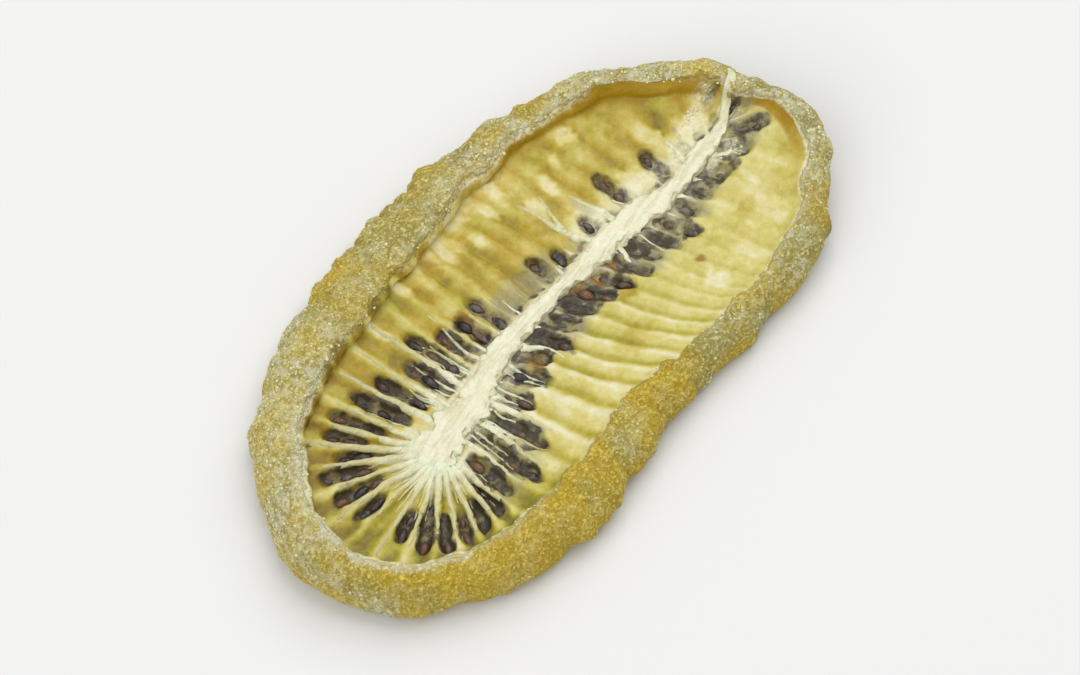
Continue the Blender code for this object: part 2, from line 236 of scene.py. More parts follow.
@dataclass
class SliceForm:
    """The sizes and sections of the slice, the same as those of the solid."""

    outline_points: Pairs = (
        (31.0, -1.6), (27.8, 4.4), (21.4, 10.9), (11.4, 15.0), (-0.4, 16.8), (-11.2, 16.6),
        (-20.8, 14.0), (-27.8, 8.2), (-31.3, 0.0), (-28.8, -7.6), (-22.4, -13.2), (-12.4, -16.6),
        (0.6, -16.0), (10.0, -17.1), (20.4, -17.4), (28.0, -13.8), (31.5, -8.8),
    )
    core_points: Pairs = (
        (-14.5, -1.5), (-7.7, -0.8), (-0.9, -0.4), (5.9, -1.1), (12.7, -2.1), (19.4, -3.7), (25.9, -3.4),
    )
    core_half_widths: tuple[float, ...] = (1.9, 1.75, 1.25, 1.0, 0.8, 1.25, 1.15, 0.85, 0.45)
    core_rise: float = 0.75
    side_ribs: int = 20
    fan_ribs: int = 13
    tip_ribs: int = 3
    left_angles: Pairs = ((0.0, 101), (0.05, 98), (0.1, 95), (0.2, 91), (0.5, 88), (0.8, 84), (1.0, 40))
    right_angles: Pairs = (
        (0.0, 261), (0.06, 266), (0.13, 272), (0.2, 284), (0.3, 290), (0.45, 289), (0.62, 283), (0.8, 281),
        (1.0, 322),
    )
    rib_height: float = 0.45
    rib_at_core: float = 0.45
    rib_full: float = 0.45
    rib_sinks: float = 0.75
    rib_at_rim: float = 0.45
    fan_end: float = 0.3
    flesh_height: float = 2.75
    belly_height: float = 1.6
    under_flesh_height: float = 0.95
    under_core_height: float = 0.45
    under_edge_height: float = 0.6
    rim_widths: Pairs = (
        (0, 2.3), (45, 3.4), (85, 5.2), (115, 5.9), (140, 4.6), (180, 3.2), (210, 3.1), (238, 4.3),
        (270, 3.6), (300, 2.8), (340, 2.2),
    )
    crest_heights: Pairs = (
        (0, 5.0), (45, 5.0), (90, 5.4), (135, 5.8), (180, 5.5), (225, 5.2), (270, 4.5), (315, 4.4),
    )
    wall_runs: Pairs = (
        (0, 1.3), (70, 0.9), (100, 0.6), (150, 0.6), (190, 0.9), (230, 1.8), (270, 2.6), (315, 2.0),
    )
    wall_overhangs: Pairs = ((0, 0.25), (60, 0.5), (110, 0.55), (150, 0.45), (200, 0.2), (240, 0), (340, 0))
    flesh_rises: Pairs = (
        (0, 0.6), (55, 0.4), (80, 0.8), (110, 1.3), (150, 1.2), (180, 0.8), (210, 0.6), (270, 1.0),
    )
    crest_half_width: float = 0.2
    crest_drop: float = 0.25
    outer_roundness: float = 2.3
    puckers: tuple[tuple[int, float, float], ...] = ((17, 0.20, 0.6), (31, 0.13, 2.1))
    pucker_of_crest: float = 0.6
    pucker_of_height: float = 0.8
    pucker_turn: float = 40
    ring_edge: float = 0.3
    ring_outer: float = 1.1
    ring_inner: float = 2.7
    under_wall_run: float = 1.2
    under_rib_depth: float = 0.5
    rest_spots: tuple[float, ...] = (50, 138, 213, 300)
    rest_spot_half: float = 2.5
    ring_rise_run: float = 20
    ring_rise: float = 0.4
    lift_start: float = 12.0
    tip_lift: float = 1.5
    core_clearance: float = 0.4
    shoulder_width: float = 0.6
    shoulder_height: float = 0.85

    waver_of_ribs: float = 0.13
    waver_size: float = 2.8
    waver_start: float = 5.0
    bow: float = 0.3
    bow_start: float = 4.5

    def __post_init__(self) -> None:
        """Draws the outline and the pith's middle line, and finds the shift to the frame's origin."""
        self.noise = ValueNoise(11)
        self.outline = smooth_curve(self.outline_points, closed=True)
        self.core_line = smooth_curve(self.core_points, closed=False)
        spokes = self.spokes(3)
        x, y = self.outer_points(spokes)
        self.shift = ((x.min() + x.max()) / 2, (y.min() + y.max()) / 2)

    def on_core(self, along: Array) -> tuple[Array, Array]:
        """Points of the pith's middle line at shares of its points, 0 at the broad end."""
        at = np.asarray(along) * (len(self.core_line) - 1)
        index = range(len(self.core_line))
        return np.interp(at, index, self.core_line[:, 0]), np.interp(at, index, self.core_line[:, 1])

    def core_half_width(self, along: Array) -> Array:
        """Half the pith's width at shares of its length."""
        stations = np.linspace(0, 1, len(self.core_half_widths))
        return np.interp(along, stations, self.core_half_widths)

    def reach_of(self, x: float, y: float, angle: float) -> float:
        """The distance from a point inside the outline to the outline.

        Args:
            x: the point's x.
            y: the point's y.
            angle: the direction, in degrees.

        Returns:
            The distance.
        """
        ray = np.array([math.cos(math.radians(angle)), math.sin(math.radians(angle))])
        start = self.outline - (x, y)
        edge = np.roll(self.outline, -1, axis=0) - self.outline
        cross = ray[0] * edge[:, 1] - ray[1] * edge[:, 0]
        cross[cross == 0] = np.finfo(float).eps
        far = (start[:, 0] * edge[:, 1] - start[:, 1] * edge[:, 0]) / cross
        share = (start[:, 0] * ray[1] - start[:, 1] * ray[0]) / cross
        return float(far[(far > 0) & (share >= 0) & (share < 1)].max())

    def spokes(self, per_rib: int) -> Spokes:
        """Every spoke, anticlockwise from the tip: left side, fan, right side, tip.

        Args:
            per_rib: spokes from one rib to the next.

        Returns:
            The spokes as arrays.
        """
        along_side = np.linspace(0, 1, self.side_ribs * per_rib + 1)
        curves = [smooth_curve(pairs, closed=False).T for pairs in (self.left_angles, self.right_angles)]
        left, right = (np.interp(along_side, *curve) for curve in curves)
        left = left[::-1]
        fan = np.linspace(left[-1], right[0], self.fan_ribs * per_rib + 1)[1:-1]
        tip = np.linspace(right[-1], left[0] + 360, self.tip_ribs * per_rib + 1)[1:-1]
        angle = np.concatenate([left, fan, right, tip])
        along = np.concatenate([along_side[::-1], 0 * fan, along_side, 1 + 0 * tip])
        x, y = self.on_core(along)
        reach = np.array([self.reach_of(*spoke) for spoke in zip(x, y, angle)])
        ribs = np.arange(len(angle)) / per_rib
        middle = 0.5 * (fan[0] + fan[-1])
        return Spokes(x, y, along, angle, reach, ribs, (angle > 0) & (angle < middle))

    def pucker(self, direction: Array) -> Array:
        """How far the small folds push the rim out at directions."""
        turn = np.radians(direction)
        return sum(depth * np.sin(folds * turn + start) for folds, depth, start in self.puckers)

    def outer_points(self, spokes: Spokes) -> tuple[Array, Array]:
        """Where the spokes end, with the rim's folds."""
        return spokes.at(spokes.reach + self.pucker(spokes.direction()))

    def lift(self, x: Array) -> Array:
        """How far the thin end curls up off the surface."""
        run = self.outline[:, 0].max() - self.lift_start
        return self.tip_lift * eased((x - self.lift_start) / run) ** 1.5

    def in_fan(self, along: Array) -> Array:
        """1 round the pith's broad end, 0 beside the rest of it."""
        return 1 - eased(along / self.fan_end)

    def rib_count(self) -> int:
        """How many ribs there are."""
        return 2 * self.side_ribs + self.fan_ribs + self.tip_ribs

    def rib_place(self, spokes: Spokes, distance: Array) -> Array:
        """The place across the wavering ribs of points on spokes: a whole number is a ridge.

        Args:
            spokes: the spokes.
            distance: how far each point is along its spoke.

        Returns:
            The places.
        """
        x, y = spokes.at(distance)
        points = np.stack([x, y, 0 * x], axis=1)
        waver = self.waver_of_ribs * self.noise.at(points, self.waver_size)
        run = np.maximum(spokes.reach - self.bow_start, 1.0)
        bow = self.bow * (1 - spokes.left) * (1 - self.in_fan(spokes.along))
        bowed = bow * np.sin(math.pi * np.clip((distance - self.bow_start) / run, 0, 1))
        return spokes.ribs + waver * eased(distance / self.waver_start) + bowed

    def on_rib(self, spokes: Spokes, place: float, distance: float) -> tuple[float, float, float]:
        """Where a place across the ribs is, at a distance from the pith's middle line.

        Args:
            spokes: many spokes, in order round the pith.
            place: a whole number for a ridge, and a half more for a hollow.
            distance: how far it is along the spokes.

        Returns:
            x, y and the direction of the ribs there.
        """
        count = self.rib_count()
        found = self.rib_place(spokes, np.full(len(spokes.x), distance))
        miss = np.abs((found - place + count / 2) % count - count / 2)
        miss[np.abs((spokes.ribs - place + count / 2) % count - count / 2) > 0.75] = count
        best = int(np.argmin(miss))
        x, y = spokes.at(distance)
        return x[best], y[best], float(spokes.angle[best])

    def walls(self, spokes: Spokes) -> tuple[Array, Array, Array, Array]:
        """What the upper side's sections need.

        Args:
            spokes: the spokes.

        Returns:
            Distances to the inner wall, the crest and the outline, and the crest's height.
        """
        direction = spokes.direction()
        fold = self.pucker(direction)
        foot = self.core_half_width(spokes.along)
        crest_at = spokes.reach - round_the_rim(self.rim_widths, direction) + self.pucker_of_crest * fold
        run = round_the_rim(self.wall_runs, direction)
        wall_at = np.maximum(crest_at - run, foot + self.core_clearance)
        crest = round_the_rim(self.crest_heights, direction)
        crest = crest + self.pucker_of_height * self.pucker(direction + self.pucker_turn)
        return wall_at, crest_at, spokes.reach + fold, crest

    def rib_strength(self, share: Array) -> Array:
        """How high ribs stand at shares of the way from the pith to the rim."""
        swell = self.rib_at_core + (1 - self.rib_at_core) * eased(share / self.rib_full)
        sink = 1 - (1 - self.rib_at_rim) * eased((share - self.rib_sinks) / (1 - self.rib_sinks))
        return self.rib_height * swell * sink

    def ring_height(self, direction: Array) -> Array:
        """How far the ring under the rim stands off the surface, 0 at the spots that it lies on."""
        away = np.min([abs((direction - spot + 180) % 360 - 180) for spot in self.rest_spots], axis=0)
        return self.ring_rise * eased((away - self.rest_spot_half) / self.ring_rise_run)


# ---- seeds: where they lie


@dataclass
class SeedPlace:
    """One seed: its place, the direction of its blunt end, its stretch and its face."""

    x: float
    y: float
    turn: float
    stretch: float
    side: Side


@dataclass
class SeedRule:
    """The rule that places the seeds in the hollows, the same as the solid's.

    Each row is a hollow's number and how far its seeds are from the pith's middle line.
    """

    form: SliceForm
    rows: tuple = (
        (3, (2.2, 3.8)), (5, (2.9, 4.8)), (7, (2.5,)), (9, (2.2,)), (10, (3.1,)), (13, (1.9, 4.6)),
        (14, (2.7, 4.3)), (15, (3.3, 5.1)), (16, (3.0, 5.1, 7.1)), (17, (4.2, 5.8)), (18, (4.0, 5.6, 7.4)),
        (19, (4.7, 6.3, 8.2)), (20, (6.0, 7.7, 9.3)), (21, (7.7, 9.4)), (22, (5.2, 6.8, 8.4)),
        (23, (7.0, 8.6, 10.1)), (24, (6.4, 8.0, 9.9)), (25, (7.5, 9.2)), (27, (7.2, 8.9)),
        (28, (5.9, 7.7, 9.6)), (29, (7.7, 9.6)), (30, (7.1, 8.9)), (31, (6.6, 8.3)), (32, (4.6, 6.3, 8.0)),
        (33, (3.5, 5.2, 6.9)), (34, (2.8, 4.7, 6.5, 8.4)), (35, (3.7, 5.3, 7.0)), (36, (2.5, 4.1)),
        (37, (2.4, 4.2)), (38, (3.1,)), (39, (2.2, 4.4)), (40, (2.4,)), (41, (2.1,)), (42, (2.0, 3.8)),
        (43, (2.2, 4.1)), (44, (2.0, 4.4)), (45, (2.2,)), (46, (3.1,)), (47, (2.1, 4.4)), (48, (2.1,)),
        (49, (2.2,)), (50, (2.4,)), (51, (3.3,)), (52, (2.4, 4.0)), (54, (1.9,)),
    )
    turn_spread: float = 14
    stretches: Span = (0.85, 1.1)
    faces: tuple = ((Side.TOP, 7, 1.0), (Side.UNDER, 19, 0.18))
    per_rib: int = 24

    def places(self) -> list[SeedPlace]:
        """The seeds of both faces."""
        found = []
        spokes = self.form.spokes(self.per_rib)
        for side, number, fullness in self.faces:
            draw = random.Random(number)
            for hollow, distance, turn in self.filled(draw, fullness):
                x, y, angle = self.form.on_rib(spokes, hollow + 0.5, distance)
                found.append(SeedPlace(x, y, angle + turn, draw.uniform(*self.stretches), side))
        return found

    def filled(self, draw: random.Random, fullness: float) -> list[tuple[int, float, float]]:
        """Draws which places of one face hold a seed.

        Args:
            draw: the seeded draw of this face.
            fullness: the share of places that hold a seed.

        Returns:
            Rows of hollow, distance and turn off the hollow's direction.
        """
        found = []
        for hollow, distances in self.rows:
            for distance in distances:
                filled = draw.random() < fullness
                turn = draw.uniform(-self.turn_spread, self.turn_spread)
                if filled:
                    found.append((hollow, distance, turn))
        return found

    def reach(self, count: int) -> tuple[Array, Array]:
        """How far the first and the last seed of every hollow are from the pith's middle line.

        Args:
            count: how many hollows there are.

        Returns:
            Two distances for each hollow, endless ones for a hollow without seeds.
        """
        first, last = np.full(count, np.inf), np.full(count, -np.inf)
        for hollow, distances in self.rows:
            first[hollow], last[hollow] = distances[0], distances[-1]
        return first, last


# ---- node trees


@dataclass
class NodeBook:
    """Adds and joins the nodes of one tree."""

    tree: bpy.types.NodeTree

    def give(self, node: bpy.types.Node, values: dict) -> None:
        """Fills a node's inputs.

        Args:
            node: the node.
            values: plain values, colours or output sockets, by input name or number.
        """
        for name, value in values.items():
            socket = node.inputs[name]
            if isinstance(value, bpy.types.NodeSocket):
                self.tree.links.new(value, socket)
            else:
                socket.default_value = (*value, 1) if socket.type == "RGBA" else value

    def add(self, kind: str, values: dict | None = None, **settings: object) -> bpy.types.Node:
        """Adds a node.

        Args:
            kind: the node's type, without the words ShaderNode.
            values: what its inputs get.
            settings: the node's own settings.

        Returns:
            The node.
        """
        node = self.tree.nodes.new(kind if kind.startswith("Node") else "ShaderNode" + kind)
        for name, value in settings.items():
            setattr(node, name, value)
        self.give(node, values or {})
        return node

    def attribute(self, name: str) -> Socket:
        """A float attribute of the mesh."""
        return self.add("Attribute", attribute_name=name).outputs["Fac"]

    def math(self, operation: str, first: object, second: object, clamp: bool = True) -> Socket:
        """The result of one sum."""
        return self.add("Math", {0: first, 1: second}, operation=operation, use_clamp=clamp).outputs[0]

    def times(self, first: object, second: object, clamp: bool = True) -> Socket:
        """One value times another."""
        return self.math("MULTIPLY", first, second, clamp)

    def plus(self, first: object, second: object, clamp: bool = True) -> Socket:
        """One value and another."""
        return self.math("ADD", first, second, clamp)

    def swing(self, mask: Socket, width: float) -> Socket:
        """A mask made to swing round zero, over a width."""
        return self.times(self.math("SUBTRACT", mask, 0.5, False), width, False)

    def mix(self, share: object, low: object, high: object) -> Socket:
        """A colour between two colours."""
        return self.add("Mix", {0: share, 6: low, 7: high}, data_type="RGBA").outputs[2]

    def ramp(self, value: object, stops: tuple) -> Socket:
        """A colour from a value.

        Args:
            value: the value.
            stops: (place, colour) of each stop, at least two.

        Returns:
            The colour.
        """
        node = self.add("ValToRGB", {0: value})
        while len(node.color_ramp.elements) < len(stops):
            node.color_ramp.elements.new(0.5)
        for element, (place, colour) in zip(node.color_ramp.elements, stops):
            element.position = place
            element.color = (*colour, 1)
        return node.outputs[0]

    def bump(self, height: object, strength: float, distance: float) -> Socket:
        """The shading normal of a small relief."""
        return self.add("Bump", {"Height": height, "Strength": strength, "Distance": distance}).outputs[0]

    def stretch(self, value: object, start: object, end: object) -> Socket:
        """A value from 0 to 1 stretched to another range."""
        return self.add("MapRange", {0: value, 3: start, 4: end}).outputs[0]

    def spread(
        self, value: object, low: object, high: object, start: float = 0.0, end: float = 1.0
    ) -> Socket:
        """A value stretched smoothly from one range to another, and kept in it."""
        values = {0: value, 1: low, 2: high, 3: start, 4: end}
        return self.add("MapRange", values, interpolation_type="SMOOTHSTEP").outputs[0]


@dataclass(frozen=True)
class Mottle:
    """Uneven patches: their fineness, the noise values between which they show, and how slim they are."""

    scale: float
    low: float
    high: float
    slim: float = 1.0


@dataclass
class SharedGroups:
    """The node groups that the finishes share."""

    detail: float = 4.0
    roughness: float = 0.6
    pore_edge: float = 0.05
    made: dict[str, bpy.types.NodeTree] = field(default_factory=dict)

    def __post_init__(self) -> None:
        """Builds the groups."""
        self.make_mottle()
        self.make_pores()

    def open_group(self, name: str, inputs: tuple[str, ...]) -> NodeBook:
        """A new group with float inputs and one output, its mask.

        Args:
            name: the group's name.
            inputs: the names of its inputs.

        Returns:
            The book of its nodes.
        """
        tree = self.made[name] = bpy.data.node_groups.new(name, "ShaderNodeTree")
        for socket in inputs:
            tree.interface.new_socket(socket, in_out="INPUT", socket_type="NodeSocketFloat")
        tree.interface.new_socket("Mask", in_out="OUTPUT", socket_type="NodeSocketFloat")
        return NodeBook(tree)

    def make_mottle(self) -> None:
        """Soft uneven patches: a mask from noise in space."""
        book = self.open_group("mottle", ("Scale", "Low", "High", "Slim"))
        given = book.add("NodeGroupInput").outputs
        squeeze = book.add("CombineXYZ", {0: 1.0, 1: given["Slim"], 2: given["Slim"]}).outputs[0]
        place = book.add("TexCoord").outputs["Object"]
        place = book.add("VectorMath", {0: place, 1: squeeze}, operation="MULTIPLY").outputs[0]
        values = {"Vector": place, "Detail": self.detail, "Roughness": self.roughness}
        noise = book.add("TexNoise", {"Scale": given["Scale"], **values}).outputs["Fac"]
        book.add("NodeGroupOutput", {"Mask": book.spread(noise, given["Low"], given["High"])})

    def make_pores(self) -> None:
        """Small pores: a mask that is 1 in the middle of each."""
        book = self.open_group("pores", ("Scale", "Reach", "Jumble"))
        given = book.add("NodeGroupInput").outputs
        place = book.add("TexCoord").outputs["Object"]
        scale = given["Scale"]
        noise = book.add("TexNoise", {"Vector": place, "Scale": scale, "Detail": 1.0}).outputs["Color"]
        push = book.math("DIVIDE", given["Jumble"], scale, clamp=False)
        push = book.add("VectorMath", {0: noise, "Scale": push}, operation="SCALE").outputs[0]
        moved = book.add("VectorMath", {0: place, 1: push}, operation="ADD").outputs[0]
        cells = book.add("TexVoronoi", {"Vector": moved, "Scale": scale}).outputs["Distance"]
        book.add("NodeGroupOutput", {"Mask": book.spread(cells, given["Reach"], self.pore_edge)})

    def place(self, book: NodeBook, name: str, *values: float) -> Socket:
        """A group's mask, with values for its inputs in their order."""
        return book.add("Group", dict(enumerate(values)), node_tree=self.made[name]).outputs["Mask"]

    def mottle(self, book: NodeBook, kind: Mottle) -> Socket:
        """The mask of one kind of uneven patches."""
        return self.place(book, "mottle", kind.scale, kind.low, kind.high, kind.slim)


def open_material(name: str) -> tuple[Material, NodeBook, bpy.types.Node]:
    """A new material, the book of its nodes and its Principled shader."""
    material = bpy.data.materials.new(name)
    material.use_nodes = True
    return material, NodeBook(material.node_tree), material.node_tree.nodes["Principled BSDF"]


# ---- finishes


@dataclass(frozen=True)
class Grit:
    """The masks that the flesh's colours share: soft patches, fine ones and crumbs."""

    soft: Socket
    fine: Socket
    crumb: Socket


@dataclass(frozen=True)
class FleshFinish:
    """Dried flesh and rim: cream ridges, amber and olive gaps, dark pockets, and a rough frosted skin, with
    painted highlights and painted shade among them.
    """

    groups: SharedGroups
    soft: Mottle = Mottle(420, 0.36, 0.66)
    fine: Mottle = Mottle(1500, 0.33, 0.68)
    crumb: Mottle = Mottle(2900, 0.38, 0.62)
    greens: tuple = (
        (0.0, (0.19, 0.165, 0.020)), (0.35, (0.44, 0.385, 0.042)), (0.68, (0.63, 0.565, 0.190)),
        (1.0, (0.77, 0.735, 0.51)),
    )
    ambers: tuple = (
        (0.0, (0.25, 0.145, 0.006)), (0.35, (0.42, 0.29, 0.020)), (0.68, (0.58, 0.455, 0.095)),
        (1.0, (0.73, 0.64, 0.34)),
    )
    gel: Colour = (0.31, 0.285, 0.16)
    honey: Colour = (0.43, 0.245, 0.006)
    shade: Colour = (0.045, 0.032, 0.022)
    haze_and_glint: Colour = (0.40, 0.35, 0.31)
    spot: Colour = (0.31, 0.165, 0.022)
    cream: Colour = (0.82, 0.79, 0.54)
    skin: Colour = (0.47, 0.385, 0.075)
    skin_gold: Colour = (0.68, 0.475, 0.032)
    skin_green: Colour = (0.50, 0.46, 0.15)
    pit: Colour = (0.27, 0.205, 0.025)
    rust: Colour = (0.56, 0.29, 0.045)
    crystal_and_glint: Colour = (0.78, 0.71, 0.38)
    crystal_and_glint_gold: Colour = (0.82, 0.65, 0.13)
    bloom: Colour = (0.80, 0.77, 0.54)
    bloom_gold: Colour = (0.80, 0.70, 0.27)
    tone_swings: Span = (0.16, 0.12)
    ragged: float = 0.35
    dust_share: float = 0.85
    lip_share: float = 0.88
    honey_share: float = 0.65
    shade_share: float = 0.92
    olive_share: float = 0.6
    pit_share: float = 0.36
    crystal_and_glint_share: float = 0.6
    specular: float = 0.35
    roughness: Span = (0.38, 0.80)
    wet: float = 0.24
    subsurface: float = 0.22
    radius: Colour = (1.0, 0.75, 0.25)
    depth: float = 0.7 * MM
    meat_bump: float = 0.25
    bump: Span = (0.9, 0.20 * MM)

    def make(self) -> Material:
        """Builds the material."""
        material, book, shader = open_material("dried_flesh")
        grit = Grit(*(self.groups.mottle(book, kind) for kind in (self.soft, self.fine, self.crumb)))
        rim = book.plus(book.attribute("skin"), book.swing(grit.fine, self.ragged))
        rim = book.spread(rim, low=0.35, high=0.65)
        colour = book.mix(rim, self.meat(book, grit), self.skin_colour(book, grit))
        # The pale lip along the rim's crest: partly its pale edge, partly a painted highlight.
        lip = book.times(book.attribute("lip"), book.spread(grit.crumb, low=0.0, high=0.6, start=0.65))
        lip = book.times(book.spread(lip, low=0.2, high=0.75), self.lip_share)
        wet = book.math("MAXIMUM", book.attribute("gel"), book.attribute("shade"))
        rough = book.add("MapRange", {0: wet, 1: 0.1, 2: 0.8, 3: self.roughness[0], 4: self.wet}).outputs[0]
        height = book.times(book.plus(grit.crumb, grit.fine, False), rim, False)
        height = book.plus(height, book.times(grit.fine, self.meat_bump), False)
        book.give(shader, {
            "Base Color": book.mix(lip, colour, self.cream),
            "Roughness": book.stretch(rim, rough, self.roughness[1]),
            "Normal": book.bump(height, *self.bump),
            "Specular IOR Level": self.specular,
            "Subsurface Weight": self.subsurface,
            "Subsurface Radius": self.radius,
            "Subsurface Scale": self.depth,
        })
        return material

    def meat(self, book: NodeBook, grit: Grit) -> Socket:
        """The colour between the pith and the rim.

        Args:
            book: the material's nodes.
            grit: the noise masks.

        Returns:
            The colour.
        """
        tone = book.plus(book.attribute("tone"), book.swing(grit.soft, self.tone_swings[0]))
        tone = book.plus(tone, book.swing(grit.fine, self.tone_swings[1]))
        green, amber = book.ramp(tone, self.greens), book.ramp(tone, self.ambers)
        colour = book.mix(book.attribute("warm"), green, amber)
        colour = book.mix(book.times(book.attribute("honey"), self.honey_share), colour, self.honey)
        colour = book.mix(book.attribute("gel"), colour, self.gel)
        shade = book.plus(book.attribute("shade"), book.swing(grit.fine, self.ragged))
        shade = book.spread(shade, low=0.12, high=0.88, end=self.shade_share)
        colour = book.mix(shade, colour, self.shade)
        # Lilac-grey haze in the pockets: partly a thin film, partly painted wet highlights.
        colour = book.mix(book.times(book.attribute("haze_and_glint"), grit.fine), colour, self.haze_and_glint)
        colour = book.mix(book.attribute("spot"), colour, self.spot)
        dust = book.times(book.attribute("dust"), book.spread(grit.crumb, low=0.1, high=0.6, start=0.35))
        return book.mix(book.times(dust, self.dust_share), colour, self.bloom)

    def skin_colour(self, book: NodeBook, grit: Grit) -> Socket:
        """The colour of the rim's rough skin, with painted glints on the grit's tops and painted shade in
        its pits.

        Args:
            book: the material's nodes.
            grit: the noise masks.

        Returns:
            The colour.
        """
        gold = book.attribute("gold")
        colour = book.mix(grit.soft, self.skin_green, self.skin)
        colour = book.mix(book.times(book.attribute("olive"), self.olive_share), colour, self.pit)
        colour = book.mix(gold, colour, self.skin_gold)
        rust = book.times(book.attribute("rust"), book.spread(grit.fine, low=0.0, high=0.7))
        colour = book.mix(rust, colour, self.rust)
        frost = book.spread(grit.fine, low=0.15, high=0.85, start=0.3)
        frost = book.times(book.attribute("frost"), frost)
        colour = book.mix(frost, colour, book.mix(gold, self.bloom, self.bloom_gold))
        # Dark pits in the lows of the bump: partly the skin's darker olive, partly painted shade.
        for mask, edge in ((grit.fine, 0.40), (grit.crumb, 0.35)):
            pits_and_shade = book.spread(mask, low=edge, high=0.0, end=self.pit_share)
            colour = book.mix(pits_and_shade, colour, self.pit)
        # Pale crystals on the tops of the bump: partly pale sugar, partly painted glints.
        crystals_and_glints = book.spread(grit.crumb, low=0.6, high=1.0, end=self.crystal_and_glint_share)
        return book.mix(crystals_and_glints, colour, book.mix(gold, self.crystal_and_glint, self.crystal_and_glint_gold))


@dataclass(frozen=True)
class PithFinish:
    """The dry pale pith and its fibres."""

    groups: SharedGroups
    soft: Mottle = Mottle(520, 0.45, 0.72)
    fine: Mottle = Mottle(2000, 0.35, 0.7)
    strand: Mottle = Mottle(330, 0.50, 0.66, 6.0)
    shares: tuple[float, float, float] = (0.30, 0.12, 0.28)
    cream: Colour = (0.83, 0.81, 0.60)
    straw: Colour = (0.62, 0.57, 0.29)
    dusk: Colour = (0.40, 0.355, 0.20)
    roughness: float = 0.62
    subsurface: float = 0.2
    depth: float = 0.5 * MM
    bump: Span = (0.7, 0.10 * MM)

    def make(self) -> Material:
        """Builds the material."""
        material, book, shader = open_material("dry_pith")
        masks = [self.groups.mottle(book, kind) for kind in (self.soft, self.fine, self.strand)]
        # Where the fade attribute is high the colour turns to straw and then dusk: at the pith's sides, its
        # broad end and its climb, and on fibres far from the pith.
        faded = book.attribute("fade")
        share = book.spread(faded, low=0.0, high=0.5)
        for mask, part in zip(masks, self.shares):
            share = book.plus(share, book.times(mask, part))
        colour = book.mix(share, self.cream, self.straw)
        height = book.math("SUBTRACT", masks[1], masks[2], False)
        book.give(shader, {
            "Base Color": book.mix(book.spread(faded, low=0.5, high=1.0), colour, self.dusk),
            "Roughness": self.roughness,
            "Normal": book.bump(height, *self.bump),
            "Subsurface Weight": self.subsurface,
            "Subsurface Scale": self.depth,
        })
        return material


@dataclass(frozen=True)
class SeedFinish:
    """Dark glossy seeds under a thin grey film of dried juice, whose mottled flecks are partly painted
    highlights.

    Pores are their fineness, how far each reaches and how jumbled they are.
    """

    groups: SharedGroups
    fine: Mottle = Mottle(1500, 0.42, 0.66)
    pores: tuple[float, float, float] = (5200.0, 0.5, 0.3)
    dark: Colour = (0.022, 0.014, 0.014)
    brown: Colour = (0.17, 0.07, 0.028)
    film_and_glint: Colour = (0.20, 0.17, 0.135)
    roughness: Span = (0.36, 0.6)
    bump: Span = (0.35, 0.10 * MM)

    def make(self) -> Material:
        """Builds the material."""
        material, book, shader = open_material("kiwi_seed")
        # The grey film: partly dried juice and flesh over the seed, partly painted highlight flecks.
        film_and_glint = book.times(self.groups.mottle(book, self.fine), book.attribute("film_and_glint"))
        pores = self.groups.place(book, "pores", *self.pores)
        colour = book.mix(book.attribute("tone"), self.dark, self.brown)
        book.give(shader, {
            "Base Color": book.mix(film_and_glint, colour, self.film_and_glint),
            "Roughness": book.stretch(film_and_glint, *self.roughness),
            "Normal": book.bump(pores, *self.bump),
        })
        return material


@dataclass(frozen=True)
class FrostFinish:
    """Sugar grains, from cream over straw to olive, and golden where the rim is."""

    groups: SharedGroups
    fine: Mottle = Mottle(2600, 0.3, 0.7)
    cream: Colour = (0.80, 0.75, 0.46)
    straw: Colour = (0.60, 0.50, 0.14)
    olive: Colour = (0.40, 0.32, 0.05)
    gold: Colour = (0.66, 0.48, 0.04)
    gold_share: float = 0.8
    straw_share: float = 0.3
    roughness: float = 0.5
    subsurface: float = 0.3
    depth: float = 0.4 * MM

    def make(self) -> Material:
        """Builds the material."""
        material, book, shader = open_material("sugar_frost")
        tone = book.attribute("tone")
        colour = book.mix(book.spread(tone, low=0.0, high=0.55), self.olive, self.straw)
        colour = book.mix(book.times(book.attribute("gold"), self.gold_share), colour, self.gold)
        colour = book.mix(book.spread(tone, low=0.5, high=1.0), colour, self.cream)
        fine = book.times(self.groups.mottle(book, self.fine), self.straw_share)
        book.give(shader, {
            "Base Color": book.mix(fine, colour, self.straw),
            "Roughness": self.roughness,
            "Subsurface Weight": self.subsurface,
            "Subsurface Scale": self.depth,
        })
        return material


# ---- meshes


def fresh(name: str) -> Piece:
    """Names the primitive that was just added."""
    made = bpy.context.object
    made.name = made.data.name = name
    return made


def put_in(name: str, data: bpy.types.ID) -> Piece:
    """A new object of the given data, put in the scene."""
    made = bpy.data.objects.new(name, data)
    bpy.context.scene.collection.objects.link(made)
    return made


def add_grid(name: str, columns: int, rows: int) -> Piece:
    """A grid whose vertices are then moved: faces along a row, and rows of faces."""
    deselect()
    bpy.ops.mesh.primitive_grid_add(x_subdivisions=columns, y_subdivisions=rows, size=2 * MM)
    return fresh(name)


def deselect() -> None:
    """Leaves nothing selected."""
    bpy.ops.object.select_all(action="DESELECT")


def work_on(piece: Piece) -> None:
    """Selects one piece alone and makes it active."""
    deselect()
    piece.select_set(True)
    bpy.context.view_layer.objects.active = piece


@contextmanager
def editing(piece: Piece) -> Iterator[None]:
    """Edit mode on one piece, with all of it selected.

    Args:
        piece: the piece to edit.
    """
    work_on(piece)
    bpy.ops.object.mode_set(mode="EDIT")
    bpy.ops.mesh.select_all(action="SELECT")
    yield
    bpy.ops.object.mode_set(mode="OBJECT")


